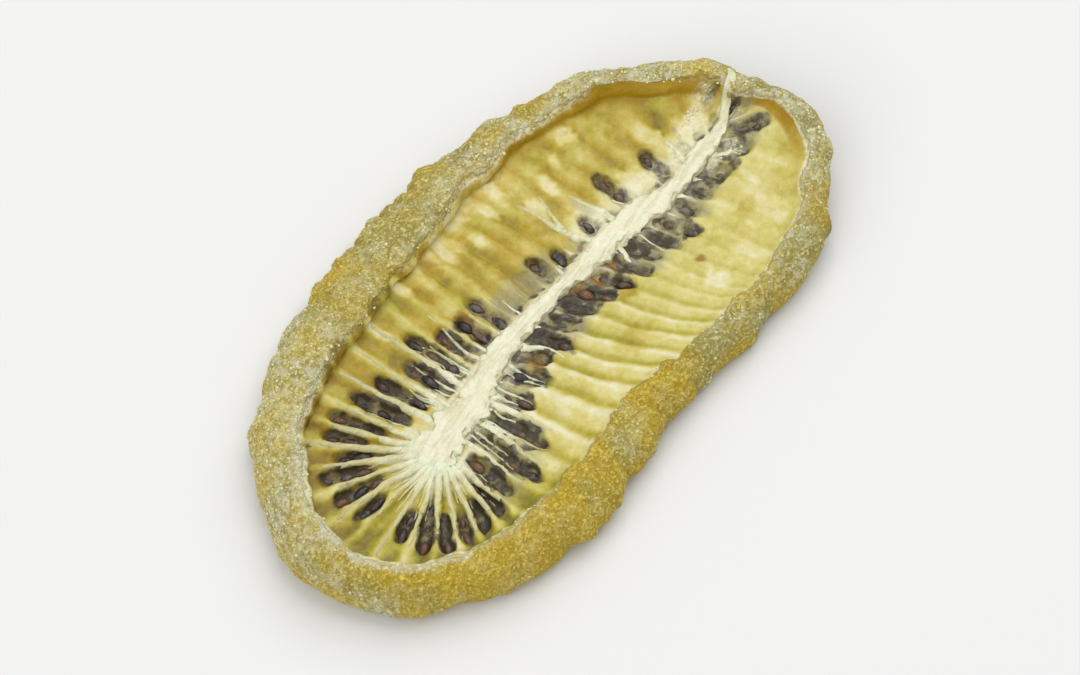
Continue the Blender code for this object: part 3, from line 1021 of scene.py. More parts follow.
def close_skin(piece: Piece) -> None:
    """Merges the vertices that meet and turns all faces outwards.

    Args:
        piece: the piece whose skin is closed.
    """
    with editing(piece):
        bpy.ops.mesh.remove_doubles(threshold=MERGE)
        bpy.ops.mesh.dissolve_degenerate(threshold=MERGE / 2)
        bpy.ops.mesh.normals_make_consistent(inside=False)


def set_attribute(mesh: Mesh, name: str, values: Array) -> None:
    """Writes a float attribute on the vertices."""
    layer = mesh.attributes.get(name) or mesh.attributes.new(name, "FLOAT", "POINT")
    layer.data.foreach_set("value", np.ascontiguousarray(values, np.float32).ravel())


def get_attribute(mesh: Mesh, name: str) -> Array:
    """Reads a float attribute of the vertices."""
    values = np.empty(len(mesh.vertices), np.float32)
    mesh.attributes[name].data.foreach_get("value", values)
    return values


def vertex_array(mesh: Mesh, normals: bool = False) -> Array:
    """The vertices' places or normals as rows.

    Args:
        mesh: the mesh.
        normals: whether the normals are meant.

    Returns:
        A row of three numbers for each vertex.
    """
    rows = np.empty((len(mesh.vertices), 3), np.float32)
    source, name = (mesh.vertex_normals, "vector") if normals else (mesh.vertices, "co")
    source.foreach_get(name, rows.ravel())
    return rows.astype(float)


def move_vertices(mesh: Mesh, places: Array) -> None:
    """Puts the vertices at new places."""
    mesh.vertices.foreach_set("co", places.astype(np.float32).ravel())
    mesh.update()


def dress(piece: Piece, material: Material) -> None:
    """Gives a piece its finish, smooth faces and its body.

    Args:
        piece: the piece.
        material: its finish.
    """
    piece.data.materials.clear()
    piece.data.materials.append(material)
    work_on(piece)
    bpy.ops.object.shade_smooth()
    deselect()
    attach(piece, BODY)
    LOG.info("%s: %d vertices, %d faces", piece.name, len(piece.data.vertices), len(piece.data.polygons))


def copied_mesh(
    name: str, base: Piece, places: Array, frames: Array, tints: dict[str, Array]
) -> Piece:
    """One mesh of many copies of a small piece, which is then removed.

    Args:
        name: the new piece's name.
        base: the piece that is copied.
        places: where each copy goes, in metres.
        frames: for each copy, three columns that are its own axes with their sizes.
        tints: float attributes, with one value for each copy.

    Returns:
        The piece.
    """
    corners = vertex_array(base.data)
    faces = [list(face.vertices) for face in base.data.polygons]
    points = (np.einsum("nij,vj->nvi", frames, corners) + places[:, None, :]).reshape(-1, 3)
    firsts = range(0, len(points), len(corners))
    copies = [[first + corner for corner in face] for first in firsts for face in faces]
    mesh = bpy.data.meshes.new(name)
    mesh.from_pydata(points, [], copies)
    bpy.data.objects.remove(base)
    for tint, values in tints.items():
        set_attribute(mesh, tint, np.repeat(values, len(corners)))
    return put_in(name, mesh)


# ---- the flesh


class Tint(Enum):
    """What a patch of the flesh looks like."""

    PALE = "pale"
    AMBER = "amber"
    HONEY = "honey"
    GREEN = "green"
    DARK = "dark"
    GEL = "gel"
    BROWN = "brown"
    FROST = "frost"


@dataclass(frozen=True)
class Patch:
    """An uneven spot of the shown face: its middle, half its length and width, and its direction."""

    tint: Tint
    x: float
    y: float
    long: float
    wide: float
    turn: float = 90.0
    strength: float = 0.9

    def mask(self, points: Array, uneven: Array) -> Array:
        """How much of the patch shows at points.

        Args:
            points: rows of x, y, z.
            uneven: noise that frays the patch's edge.

        Returns:
            0 to the patch's strength for each point.
        """
        away = from_ellipse(points, (self.x, self.y), (self.long, self.wide), self.turn)
        return self.strength * (1 - eased((away + PATCH_FRAY * uneven - 0.5) / 0.75))


PATCH_FRAY = 0.42

# The patches that the photo shows, read off in the frame of the part: sizes for each tint.
PATCH_SIZES: dict[Tint, Rows] = {
    Tint.AMBER: (
        (-10.6, 10.2, 1.9, 0.6, 82), (-12.8, 10.2, 1.6, 0.7, 95), (-19.0, 9.8, 1.2, 0.8, 110),
        (-3.3, 11.6, 1.2, 0.9), (-0.6, 11.3, 1.4, 0.7), (-1.1, 9.3, 1.5, 0.9), (1.4, 7.2, 1.2, 0.6),
        (4.6, 5.5, 1.3, 3.4, 90, 0.7), (7.8, 4.7, 1.7, 1.1, 90, 0.8), (2.6, 4.3, 0.7, 1.2),
        (-3.6, 8.8, 1.5, 0.6, 90, 0.6), (17.5, 9.4, 1.8, 0.6, -25), (19.6, 8.0, 1.4, 0.9, -40),
        (19.2, 3.6, 1.8, 0.8, 88, 0.7), (13.2, 7.1, 1.1, 0.5, -30), (7.2, -5.9, 0.6, 1.1),
        (14.4, 9.4, 1.4, 0.5, -15, 0.7), (3.6, -8.9, 1.5, 2.4, 110, 0.45), (29.5, -5.6, 3.1, 0.6, 92),
        (27.0, -10.2, 1.6, 0.8, 120, 0.5), (19.5, -9.6, 0.9, 1.8, 90, 0.45), (-18.3, -1.1, 1.7, 0.5, 20),
        (-28.0, -1.2, 0.8, 0.9, 0, 0.5), (24.4, -10.8, 1.5, 0.7, 110, 0.4),
        (25.2, 2.6, 1.6, 0.7, 120, 0.8), (-16.0, -4.4, 1.2, 0.7, 60, 0.6),
    ),
    Tint.HONEY: (
        (19.8, 8.3, 1.3, 0.8, -36), (21.8, 6.8, 1.6, 1.0, -44), (23.7, 4.8, 1.7, 1.1, -52),
        (25.4, 2.8, 1.6, 1.1, -56), (26.8, 1.0, 1.0, 0.8, -60, 0.8), (13.4, 10.6, 1.2, 0.5, -10, 0.5),
    ),
    Tint.GREEN: (
        (12.6, 8.5, 0.9, 1.0), (10.0, 7.9, 0.8, 1.3), (5.2, 9.0, 1.0, 0.7), (15.6, 5.9, 1.0, 1.4),
        (-6.4, 10.6, 1.4, 0.7), (-5.0, 7.9, 1.2, 0.6), (1.1, 1.3, 0.4, 0.9), (7.6, 7.8, 0.9, 0.6),
        (-7.0, 8.2, 1.2, 0.5), (-15.8, 9.0, 1.4, 0.7, 105), (-21.2, 8.6, 1.3, 0.8, 125),
        (-22.6, -1.4, 2.4, 0.5, 170), (-25.2, -3.4, 1.0, 0.6, 170), (15.6, -8.8, 0.7, 0.9),
        (16.9, -8.5, 0.5, 0.9), (11.3, -10.5, 0.5, 0.6), (24.8, -12.6, 0.5, 1.4, 120),
        (28.6, -0.9, 0.5, 0.6), (19.0, 5.6, 1.0, 1.3, 90, 0.6), (24.0, 2.6, 0.8, 1.4, 60, 0.8),
        (-2.2, 5.6, 1.4, 0.7, 90, 0.6),
    ),
    Tint.PALE: (
        (-9.1, 9.5, 1.7, 0.55, 88), (-4.5, 10.8, 1.5, 0.55), (-2.0, 10.8, 1.0, 0.5), (0.9, 10.6, 2.2, 0.5),
        (4.0, 10.9, 1.1, 1.6), (3.6, 7.8, 1.1, 0.7), (6.6, 9.3, 1.9, 0.55, 92), (8.6, 9.9, 1.5, 0.7, 80),
        (12.0, 6.0, 1.5, 0.7, 85), (14.2, 7.2, 1.1, 0.6, 60), (16.8, 7.7, 0.9, 1.1),
        (9.3, 5.6, 1.5, 0.8, 85), (-3.4, 6.3, 1.0, 0.8, 90, 0.6), (21.0, 1.9, 2.2, 0.8, 95, 0.8),
        (23.6, -1.3, 1.1, 1.6), (16.8, 0.0, 2.2, 1.1, 95), (11.2, 1.6, 2.3, 1.5, 90, 0.7),
        (13.9, 0.8, 1.5, 0.9), (7.1, -4.3, 0.6, 0.7), (23.6, -4.8, 0.7, 0.7), (24.4, -5.7, 1.0, 0.5, 60),
        (22.6, -8.2, 1.5, 0.4), (12.6, -11.6, 1.6, 1.0, 100), (-15.5, 0.9, 1.3, 2.6),
        (-17.4, 1.4, 2.2, 2.0, 120, 0.8), (-16.9, -3.2, 1.3, 1.4, 60, 0.7),
        (-19.6, 0.3, 1.1, 1.8, 100, 0.5), (16.0, -12.0, 1.6, 0.9, 100, 0.6),
        (20.4, -12.2, 1.4, 0.9, 100, 0.6),
    ),
    Tint.GEL: (
        (14.7, -5.4, 2.1, 1.9), (11.4, -4.9, 2.1, 1.4), (20.3, -5.2, 1.6, 1.6), (26.0, -5.5, 1.4, 1.3),
        (17.8, -5.7, 1.5, 0.8), (1.9, -3.7, 1.5, 1.7), (0.2, 2.2, 1.8, 2.2), (4.2, 1.7, 1.7, 2.1),
        (-15.0, -8.4, 1.1, 3.2, 90, 0.55), (-10.8, -7.6, 1.4, 1.7, 90, 0.5),
        (-19.4, -7.0, 1.0, 1.7, 60, 0.4), (-20.4, 3.4, 2.2, 1.7, 150, 0.35), (-9.6, 3.4, 2.6, 1.1),
        (28.2, -3.3, 1.3, 0.9), (18.9, -1.2, 1.3, 0.8, 90, 0.5), (12.0, 2.4, 1.6, 0.7, 90, 0.5),
    ),
    # Dark slits and pockets; the patch at (27.1, -0.9) is a painted shadow under the rim.
    Tint.DARK: (
        (-1.3, -1.7, 0.6, 1.8), (0.2, -2.3, 0.7, 1.1), (-1.0, -4.2, 1.4, 0.35, 105),
        (9.6, -5.5, 1.5, 0.5, 95), (13.2, -4.8, 1.7, 0.5, 85), (11.4, -3.1, 0.5, 1.4),
        (14.7, -3.5, 0.5, 1.3, 80), (12.3, -4.6, 1.3, 0.3, 85), (20.0, -4.4, 0.6, 1.4),
        (19.0, -5.0, 1.0, 0.35, 95), (22.9, -6.4, 0.7, 0.8), (25.7, -4.9, 1.4, 0.6, 70),
        (28.3, -3.0, 1.1, 0.55, 35), (22.3, -0.8, 1.2, 0.3, 62, 0.45), (27.1, -0.9, 0.5, 1.2, 70, 0.7),
        (14.5, -6.8, 0.35, 0.5), (10.3, 1.0, 0.45, 0.4), (6.6, 0.9, 1.0, 0.3, 80), (7.3, 0.2, 0.3, 0.7),
        (16.2, -6.2, 1.0, 0.3, 70, 0.6), (2.4, -2.7, 0.35, 0.5), (4.7, -4.0, 0.9, 0.6, 90, 0.8),
        (-4.7, -3.9, 1.6, 0.4, 92), (-12.0, -3.1, 0.8, 0.35, 90, 0.7),
    ),
    Tint.BROWN: (
        (13.4, -9.1, 0.5, 0.55), (-3.2, -3.1, 1.0, 0.9, 90, 0.6), (5.3, -1.7, 0.35, 1.2, 80, 0.7),
        (6.6, -3.0, 1.0, 0.4, 90, 0.8), (8.7, -2.9, 0.8, 0.6, 90, 0.8), (-3.3, 4.3, 0.9, 0.5, 80, 0.8),
        (-13.7, 7.0, 0.8, 0.4, 100, 0.5), (7.4, -5.1, 0.4, 0.8, 90, 0.6),
    ),
    Tint.FROST: (
        (24.6, -0.9, 1.0, 2.6), (26.4, -0.6, 1.0, 1.2), (24.3, -5.3, 1.0, 0.9, 60),
        (15.6, -0.6, 0.7, 3.6, 92, 0.7), (21.2, -1.7, 0.6, 1.8, 80, 0.7), (22.2, -4.6, 0.5, 1.5),
        (26.6, -4.0, 0.6, 1.2, 90, 0.6), (11.4, 0.6, 0.8, 1.2, 90, 0.6), (6.4, 0.7, 0.7, 0.8, 90, 0.5),
    ),
}
PATCHES = [Patch(tint, *sizes) for tint, rows in PATCH_SIZES.items() for sizes in rows]


@dataclass
class Marks:
    """What each vertex of the body knows of its place, as arrays.

    The first twelve are made on the grid and read off the closed skin: the share of the way to the rim, how
    much is rim, its pale lip (partly painted highlight) and its inner wall, the face, the place across the
    ribs, distances from the pith's edge and from its middle, a rib's width, the place along the pith,
    whether it is left of it, and the direction from the slice's middle. Flesh.study works out the others.
    """

    share: Array
    rim: Array
    lip: Array
    side: Array
    wall: Array
    place: Array
    off: Array
    away: Array
    pitch: Array
    along: Array
    left: Array
    direction: Array
    points: Array = field(init=False)
    ridge: Array = field(init=False)
    hollow: Array = field(init=False)
    turn: Array = field(init=False)
    fan: Array = field(init=False)
    near: Array = field(init=False)
    fine: Array = field(init=False)
    septum: Array = field(init=False)
    zone: Array = field(init=False)
    ends: Array = field(init=False)
    bare: Array = field(init=False)
    skin: Array = field(init=False)
    dark: Array = field(init=False)
    pale: Array = field(init=False)

    def write(self, mesh: Mesh) -> None:
        """Keeps the grid's arrays as attributes of the mesh."""
        for name, values in vars(self).items():
            set_attribute(mesh, name, values)

    @classmethod
    def read(cls, mesh: Mesh) -> "Marks":
        """Reads the grid's arrays off the closed skin."""
        names = [mark.name for mark in fields(cls) if mark.init]
        return cls(*(get_attribute(mesh, name).astype(float) for name in names))


@dataclass
class Flesh:
    """The slice's body: ribbed flesh inside a curled rim, and its underside.

    Bands beside the pith are (share of its length, value). Bells round the rim are (direction, width,
    strength). Lumps are layers of noise: (shift, size, strength). Streaks are (number across a rib, length,
    layer, strength). Patch levels are (tint, lightness, strength).
    """

    form: SliceForm
    rule: SeedRule
    seeds: list[SeedPlace]
    per_rib: int = 15
    core_rings: int = 4
    flesh_rings: int = 44
    wall_rings: int = 9
    crest_rings: int = 4
    outer_rings: int = 20
    under_rings: int = 4
    rest_rings: int = 3
    core_sink: float = 0.6
    core_power: float = 2.2
    rib_start: float = 0.06
    ribbon: Span = (0.13, 0.145)
    ribbon_width: float = 0.55
    finger_power: float = 2.4
    finger_height: float = 0.85
    groove_root: float = 0.3
    smooth_end: float = 0.65
    smooth_left: float = 0.1
    pocket_depth: float = 0.34
    socket_depth: float = 0.12
    socket_lip: float = 0.10
    lump_height: float = 0.38
    wall_rib: float = 0.16
    wrinkle_height: float = 0.12
    rim_radius: float = 22.0
    fold_width: float = 0.9
    edge_fold: float = 0.42
    crest_fold: float = 0.30
    seed_half: Span = (1.05, 0.62)
    before_seeds: float = 1.5
    past_seeds: float = 1.25
    zone_edge: float = 0.9
    fan_hollows: tuple[int, int] = (18, 33)
    fan_ends: Span = (0.32, 0.15)
    under_pith: float = 0.55
    left_band: Pairs = (
        (0.0, 8.5), (0.05, 7.0), (0.1, 6.8), (0.2, 6.4), (0.28, 5.4), (0.34, 4.2), (0.45, 4.2), (0.55, 3.5),
        (0.62, 2.6), (0.75, 3.0), (1.0, 2.4),
    )
    right_band: Pairs = (
        (0.0, 7.0), (0.08, 7.6), (0.13, 6.0), (0.2, 4.5), (0.35, 4.4), (0.45, 4.6), (0.55, 4.8),
        (0.68, 5.0), (0.78, 3.6), (0.9, 3.6), (1.0, 3.2),
    )
    left_dark: Pairs = ((0.0, 1.0), (0.27, 1.0), (0.36, 0.15), (1.0, 0.1))
    right_dark: Pairs = ((0.0, 1.15), (0.22, 1.2), (0.3, 1.6), (0.5, 1.5), (0.68, 0.95), (1.0, 0.7))
    left_gel: Pairs = ((0.0, 0.5), (0.25, 0.6), (0.32, 0.6), (0.5, 0.55), (0.6, 0.3), (1.0, 0.25))
    right_gel: Pairs = ((0.0, 0.7), (0.3, 0.9), (1.0, 0.8))
    left_pale: Pairs = ((0.0, 0.0), (0.54, 0.0), (0.62, 0.95), (0.9, 0.9), (1.0, 0.4))
    end_bells: Rows = ((16, 16, 1.0), (40, 20, 0.6), (347, 10, 1.2))
    bare_bell: Span = (17, 13)
    bare_share: float = 0.8
    golden_bells: Rows = ((209, 25, 1.0), (258, 45, 0.7), (95, 36, 0.4))
    frost_bells: Rows = ((155, 26, 1.35), (20, 30, 0.5), (325, 25, 0.4))
    lip_bells: Rows = ((180, 34, 0.9), (345, 28, 0.5), (35, 30, 0.45))
    band_bell: Span = (191, 15)
    rust_bell: Span = (169, 9)
    amber_bell: Span = (145, 30)
    wrinkle_lumps: Rows = ((17, 0.6, 0.8), (29, 2.6, 0.9))
    blotch_lumps: Rows = ((33, 1.2, 0.7), (37, 0.55, 0.7), (39, 0.3, 0.35))
    frost_lumps: Rows = ((91, 1.6, 1.0), (93, 0.6, 0.5))
    lump_streaks: Rows = ((1, 2.6, 1, 0.7), (2, 1.5, 2, 0.4))
    tone_streaks: Rows = ((1, 2.2, 3, 0.75), (2, 1.2, 4, 0.5), (4, 0.8, 5, 0.12))
    patch_levels: tuple = (
        (Tint.AMBER, 0.25, 0.88), (Tint.HONEY, 0.2, 0.9), (Tint.GREEN, 0.44, 0.6), (Tint.PALE, 0.90, 0.95),
    )
    pocket_most: float = 0.95

    def __post_init__(self) -> None:
        """Prepares the noise and the list of rings."""
        self.noise = ValueNoise(11)
        self.shapes: list[Array] = []

    def uneven(self, direction: Array, layer: float) -> Array:
        """Random folds round the rim, broad and small, from about -1 to 1."""
        turn = np.radians(direction)
        spots = self.rim_radius * np.stack([np.cos(turn), np.sin(turn), 0 * turn], axis=1) + layer
        return self.noise.at(spots, 2.4) + 0.45 * self.noise.at(spots + 7, 0.9)

    def add_ring(self, distance: Array, height: Array, **marks: Array | float) -> None:
        """Keeps one ring of the section: its distances, heights and marks for the finish."""
        names = ("share", "rim", "lip", "side", "wall")
        row = [distance, height, *(marks.get(name, 0.0) for name in names)]
        self.shapes.append(np.array([np.broadcast_to(value, distance.shape) for value in row], float))

    def ridge_of(self, spokes: Spokes, distance: Array) -> Array:
        """How near points are to a rib's ridge: 1 on it, 0 in the hollow."""
        return 1 - 2 * np.abs((self.form.rib_place(spokes, distance) + 0.5) % 1 - 0.5)

    def fan_share(self, at: Spokes | Marks) -> Array:
        """How much the ribs look like the fan's: 1 round the broad end, 0 beside the pith."""
        return 1 - eased(at.along / np.where(at.left > 0, *self.fan_ends))

    def groove_share(self, at: Spokes | Marks) -> Array:
        """How deep the grooves between the fingers are: less beside the thin end and on the left."""
        root = 1 + self.groove_root * (1 - eased((at.along - 0.30) / 0.12))
        smooth = self.smooth_end * eased((at.along - 0.42) / 0.18)
        return root * (1 - smooth) * (1 - self.smooth_left * at.left)

    def rib_profile(self, spokes: Spokes, distance: Array) -> Array:
        """The ribs' section at points on spokes: ribbons in the fan, broad fingers beside the pith."""
        fan, ridge = self.fan_share(spokes), self.ridge_of(spokes, distance)
        finger = self.finger_height * (1 - (1 - ridge) ** self.finger_power) * self.groove_share(spokes)
        return fan * bell(ridge, 1.0, self.ribbon_width) + (1 - fan) * finger

    def rings(self, spokes: Spokes) -> Array:
        """Every ring from the pith's middle over the rim to the pith's middle below.

        Args:
            spokes: the spokes.

        Returns:
            An array of (ring, mark, spoke).
        """
        form = self.form
        foot = form.core_half_width(spokes.along)
        wall_at, crest_at, outer, crest = form.walls(spokes)
        direction = spokes.direction()
        crest_at = crest_at + self.uneven(direction, 0.0) * self.edge_fold
        crest = crest + self.uneven(direction, 40.0) * self.crest_fold
        rise = round_the_rim(form.flesh_rises, direction)
        for share in np.linspace(0, 1, self.core_rings, endpoint=False):
            drop = (1 - share**self.core_power) ** 0.5
            self.add_ring(foot * share, form.flesh_height + form.core_rise * drop - self.core_sink, side=1)
        for share in np.linspace(0, 1, self.flesh_rings):
            distance = foot + (wall_at - foot) * share
            rib = self.rib_profile(spokes, distance) * form.rib_strength(share)
            height = form.flesh_height + rise * share**2 + rib * eased(share / self.rib_start)
            self.add_ring(distance, height, share=share, side=1)
        overhang = round_the_rim(form.wall_overhangs, direction)
        wall_end = crest_at - form.crest_half_width
        wall_top = crest - form.crest_drop
        for share in steps(self.wall_rings):
            distance = wall_at + (wall_end - wall_at) * share - overhang * math.sin(math.pi * share**2)
            climb = height + (wall_top - height) * (0.2 * share + 0.8 * share**2)
            rim, lip = 0.5 * eased((share - 0.8) / 0.2), eased((share - 0.6) / 0.35)
            self.add_ring(distance, climb, share=1, rim=rim, lip=lip, side=1, wall=share)
        for share in steps(self.crest_rings):
            distance = wall_end + 2 * form.crest_half_width * share
            top = wall_top + form.crest_drop * math.sin(math.pi / 2 * share)
            rim, lip = 0.5 + 0.5 * share, 1 - 0.3 * share
            self.add_ring(distance, top, share=1, rim=rim, lip=lip, side=1, wall=1)
        outer_start = crest_at + form.crest_half_width
        power = 2 / form.outer_roundness
        for turn in math.pi / 2 * steps(self.outer_rings):
            distance = outer_start + (outer - outer_start) * math.sin(turn) ** power
            drop = max(math.cos(turn), 0.0) ** power
            height = form.belly_height + (crest - form.belly_height) * drop
            self.add_ring(distance, height, share=1, rim=1, lip=0.7 * eased(1 - 3 * turn), side=1)
        self.add_under_rings(spokes, outer, foot, direction)
        return np.array(self.shapes)

    def add_under_rings(
        self, spokes: Spokes, outer: Array, foot: Array, direction: Array
    ) -> None:
        """The rings of the underside, from the outline in.

        Args:
            spokes: the spokes.
            outer: how far the outline is.
            foot: half the pith's width.
            direction: the spokes' directions from the slice's middle.
        """
        form = self.form
        ring = form.ring_height(direction)
        ring_in = np.maximum(outer - form.ring_inner, foot + 2 * form.core_clearance)
        flesh_at = np.maximum(ring_in - form.under_wall_run, foot + form.core_clearance)
        rib = self.rib_profile(spokes, flesh_at) * form.rib_strength(form.rib_full)
        hollow = form.under_flesh_height - form.under_rib_depth * rib
        shoulder = form.under_core_height + (1 - form.shoulder_height) * form.core_rise
        level = 0 * foot
        given = np.array([
            (outer, level + form.belly_height), (outer - form.ring_edge, form.under_edge_height + ring),
            (outer - form.ring_outer, ring), (ring_in, ring), (flesh_at, hollow),
            (0.5 * (flesh_at + foot), hollow), (foot, level + form.under_flesh_height),
            (form.shoulder_width * foot, level + shoulder), (level, level + form.under_core_height),
        ])
        line = np.concatenate([given[:1], given, given[-1:]])
        for span in range(len(given) - 1):
            for share in steps(self.under_rings):
                distance, height = curve_span(line[span:span + 4], share)
                height = np.maximum(height, ring) if span < self.rest_rings else height
                within = (distance - foot) / np.maximum(flesh_at - foot, 0.1)
                rim = eased((distance - flesh_at) / np.maximum(ring_in - flesh_at, 0.1))
                self.add_ring(distance, height, share=np.clip(within, 0, 1), rim=rim, side=-1)

    def build(self) -> Piece:
        """Models the body: a grid curled into the slice, closed, and given its small relief."""
        form = self.form
        spokes = form.spokes(self.per_rib)
        rings = self.rings(spokes)
        distance, height, *marks = rings.transpose(1, 0, 2)
        place = np.stack([form.rib_place(spokes, ring) for ring in distance])
        marks += [place, distance - form.core_half_width(spokes.along), distance]
        marks += [spokes.along, spokes.left, spokes.direction(), *spokes.at(distance), height]
        closed = np.append(np.arange(len(spokes.x)), 0)
        marks = [np.broadcast_to(values, distance.shape)[:, closed].T for values in marks]
        *marks, along, left, direction, x, y, height = marks
        pitch = self.per_rib * np.hypot(np.gradient(x, axis=0), np.gradient(y, axis=0))
        places = np.stack([x - form.shift[0], y - form.shift[1], height + form.lift(x)], axis=2)
        piece = add_grid("dried_kiwi_flesh", len(rings) - 1, len(spokes.x))
        move_vertices(piece.data, places * MM)
        Marks(*marks, pitch, along, left, direction).write(piece.data)
        close_skin(piece)
        self.mesh = piece.data
        self.study()
        self.shape_relief()
        self.paint_flesh()
        self.paint_rim()
        return piece

    def study(self) -> None:
        """Reads the marks of the closed skin and works out what relief and paint share."""
        marks = self.marks = Marks.read(self.mesh)
        marks.points = vertex_array(self.mesh) / MM
        nearest = np.abs((marks.place + 0.5) % 1 - 0.5)
        marks.ridge = 1 - 2 * nearest
        marks.hollow = 1 - eased((marks.ridge - 0.25) / 0.5)
        marks.turn = marks.direction % 360
        marks.fan = self.fan_share(marks)
        marks.near = self.seed_distance()
        marks.fine = self.noise_at(71, 0.8)
        strength = 1 + 0.45 * self.rib_random(marks.place + 0.5, 5)
        beside = nearest * marks.pitch + 0.14 * self.noise_at(61, 0.7)
        half = (self.ribbon[0] + self.ribbon[1] * marks.pitch * marks.fan) * strength
        marks.septum = bell(beside, 0.0, half * (1 + 0.25 * marks.fine)) * np.clip(strength, 0.4, 1)
        marks.zone = self.seed_zone()
        marks.ends = np.max(list(self.bells(self.end_bells)), axis=0)
        marks.bare = np.clip(bell(marks.turn, *self.bare_bell) * (0.9 + 0.3 * marks.fine), 0, 1)
        bare = self.bare_share * marks.bare
        marks.skin = np.clip((marks.rim - bare) / (1 - bare), 0, 1)
        marks.dark = self.beside_pith(self.left_dark, self.right_dark)
        near_pith = 1 - eased((marks.off - 1.2 - 1.2 * marks.fine) / 2.2)
        marks.pale = near_pith * marks.left * np.interp(marks.along, *zip(*self.left_pale))

    def noise_at(self, shift: float, lump: float) -> Array:
        """One layer of noise at the vertices."""
        return self.noise.at(self.marks.points + shift, lump)

    def lumps(self, layers: Rows) -> Array:
        """Layers of noise at the vertices."""
        return sum(strength * self.noise_at(shift, lump) for shift, lump, strength in layers)

    def bells(self, rows: Rows) -> Iterator[Array]:
        """Each bell's strength round the rim at the vertices."""
        return (strength * bell(self.marks.turn, middle, width) for middle, width, strength in rows)

    def rim_folds(self, drawn: float) -> Array:
        """Noise round the rim, drawn out up and down it."""
        around = np.radians(self.marks.direction) * self.rim_radius
        spots = np.stack([around, self.marks.points[:, 2] * drawn, 0 * around], axis=1)
        return self.noise.at(spots, self.fold_width)

    def beside_pith(self, left: Pairs, right: Pairs) -> Array:
        """Values read along the pith, from one row of pairs for its left and one for its right."""
        marks = self.marks
        values = marks.left * np.interp(marks.along, *zip(*left))
        return values + (1 - marks.left) * np.interp(marks.along, *zip(*right))

    def seed_zone(self) -> Array:
        """Where the pockets of the seeds are: 1 in them, 0 off them."""
        marks = self.marks
        count = self.form.rib_count()
        hollow = np.floor(marks.place).astype(int) % count
        first, last = self.rule.reach(count)
        fan = (hollow >= self.fan_hollows[0]) & (hollow <= self.fan_hollows[1])
        tapered = 1.3 * np.clip(marks.ridge, 0, 1) ** 2 - 0.7 * marks.fine
        start = np.where(fan, first[hollow] - self.before_seeds + tapered, -1)
        band = self.beside_pith(self.left_band, self.right_band)
        band = band + 0.5 * self.rib_random(marks.place, 3) + 0.45 * marks.fine - 0.5 * marks.ridge
        end = np.maximum(np.where(fan, 0, band), last[hollow] + self.past_seeds - tapered)
        zone = eased((marks.away - start) / self.zone_edge)
        zone = zone * (1 - eased((marks.away - end) / self.zone_edge + 1))
        inner = marks.off + self.under_pith * (1 - marks.left) + 0.2 * marks.fine
        return zone * eased(inner / 0.35) * (1 - eased(marks.wall / 0.4))

    def rib_random(self, place: Array, number: int) -> Array:
        """A random value from -1 to 1 for each hollow."""
        count = self.form.rib_count()
        values = np.random.default_rng(number).uniform(-1, 1, count)
        return values[np.floor(place).astype(int) % count]

    def streaks(self, layers: Rows) -> Array:
        """Noise that is drawn out along the ribs.

        Args:
            layers: rows of streaks.

        Returns:
            A value for each vertex.
        """
        marks, total = self.marks, 0.0
        for fineness, length, number, strength in layers:
            turn = marks.place * ValueNoise.SIZE * fineness / self.form.rib_count()
            layer = 7.3 * number + 3.1 * marks.side
            spots = np.stack([turn, marks.off / length, layer], axis=1)
            total = total + strength * self.noise.at(spots, 1.0)
        return total

    def seed_distance(self) -> Array:
        """How far the vertices are from the nearest seed of their face, 1 at the seed's edge."""
        points, side = self.marks.points, self.marks.side
        nearest = np.full(len(points), 9.0)
        for seed in self.seeds:
            middle = (seed.x - self.form.shift[0], seed.y - self.form.shift[1])
            half = (self.seed_half[0] * seed.stretch, self.seed_half[1])
            away = from_ellipse(points, middle, half, seed.turn)
            nearest = np.where(side * seed.side.value > 0, np.minimum(nearest, away), nearest)
        return nearest

    def shape_relief(self) -> None:
        """Sinks the pockets of the seeds, and raises lumps on the flesh and wrinkles on the rim."""
        marks, points = self.marks, self.marks.points
        near, zone, meat = marks.near, marks.zone, 1 - marks.rim
        move = -self.socket_depth * (1 - eased((near - 0.7) / 0.5)) + self.socket_lip * bell(near, 1.4, 0.3)
        sunk = np.maximum(marks.hollow, 0.6 * (1 - marks.fan)) * (1 - 0.8 * marks.septum)
        move -= self.pocket_depth * zone * sunk * meat * eased(marks.off / 0.9)
        room = meat * eased(marks.share / 0.15) * (1 - 0.6 * zone) * (0.35 + 0.65 * marks.left)
        move += self.lump_height * room * self.streaks(self.lump_streaks)
        move += 0.35 * self.lump_height * meat * (0.6 + zone) * self.noise_at(40, 0.7)
        move += self.wall_rib * eased(marks.wall / 0.5) * meat * (marks.fan * marks.septum - 0.4)
        wrinkles = 2.0 * self.rim_folds(0.25) + self.lumps(self.wrinkle_lumps)
        move += self.wrinkle_height * marks.rim * wrinkles
        move[(marks.side < 0) & (points[:, 2] < self.form.ring_rise + 0.05)] = 0
        normals = vertex_array(self.mesh, normals=True)
        move_vertices(self.mesh, (points + normals * move[:, None]) * MM)

    def patch_masks(self) -> dict[Tint, Array]:
        """How much of each kind of patch shows at each vertex of the upper face."""
        marks = self.marks
        uneven = 0.7 * marks.fine + 0.6 * self.noise_at(83, 0.4)
        upper = (marks.side > 0) * (1 - marks.rim)
        masks = {tint: 0 * upper for tint in Tint}
        for patch in PATCHES:
            masks[patch.tint] = np.maximum(masks[patch.tint], patch.mask(marks.points, uneven) * upper)
        return masks

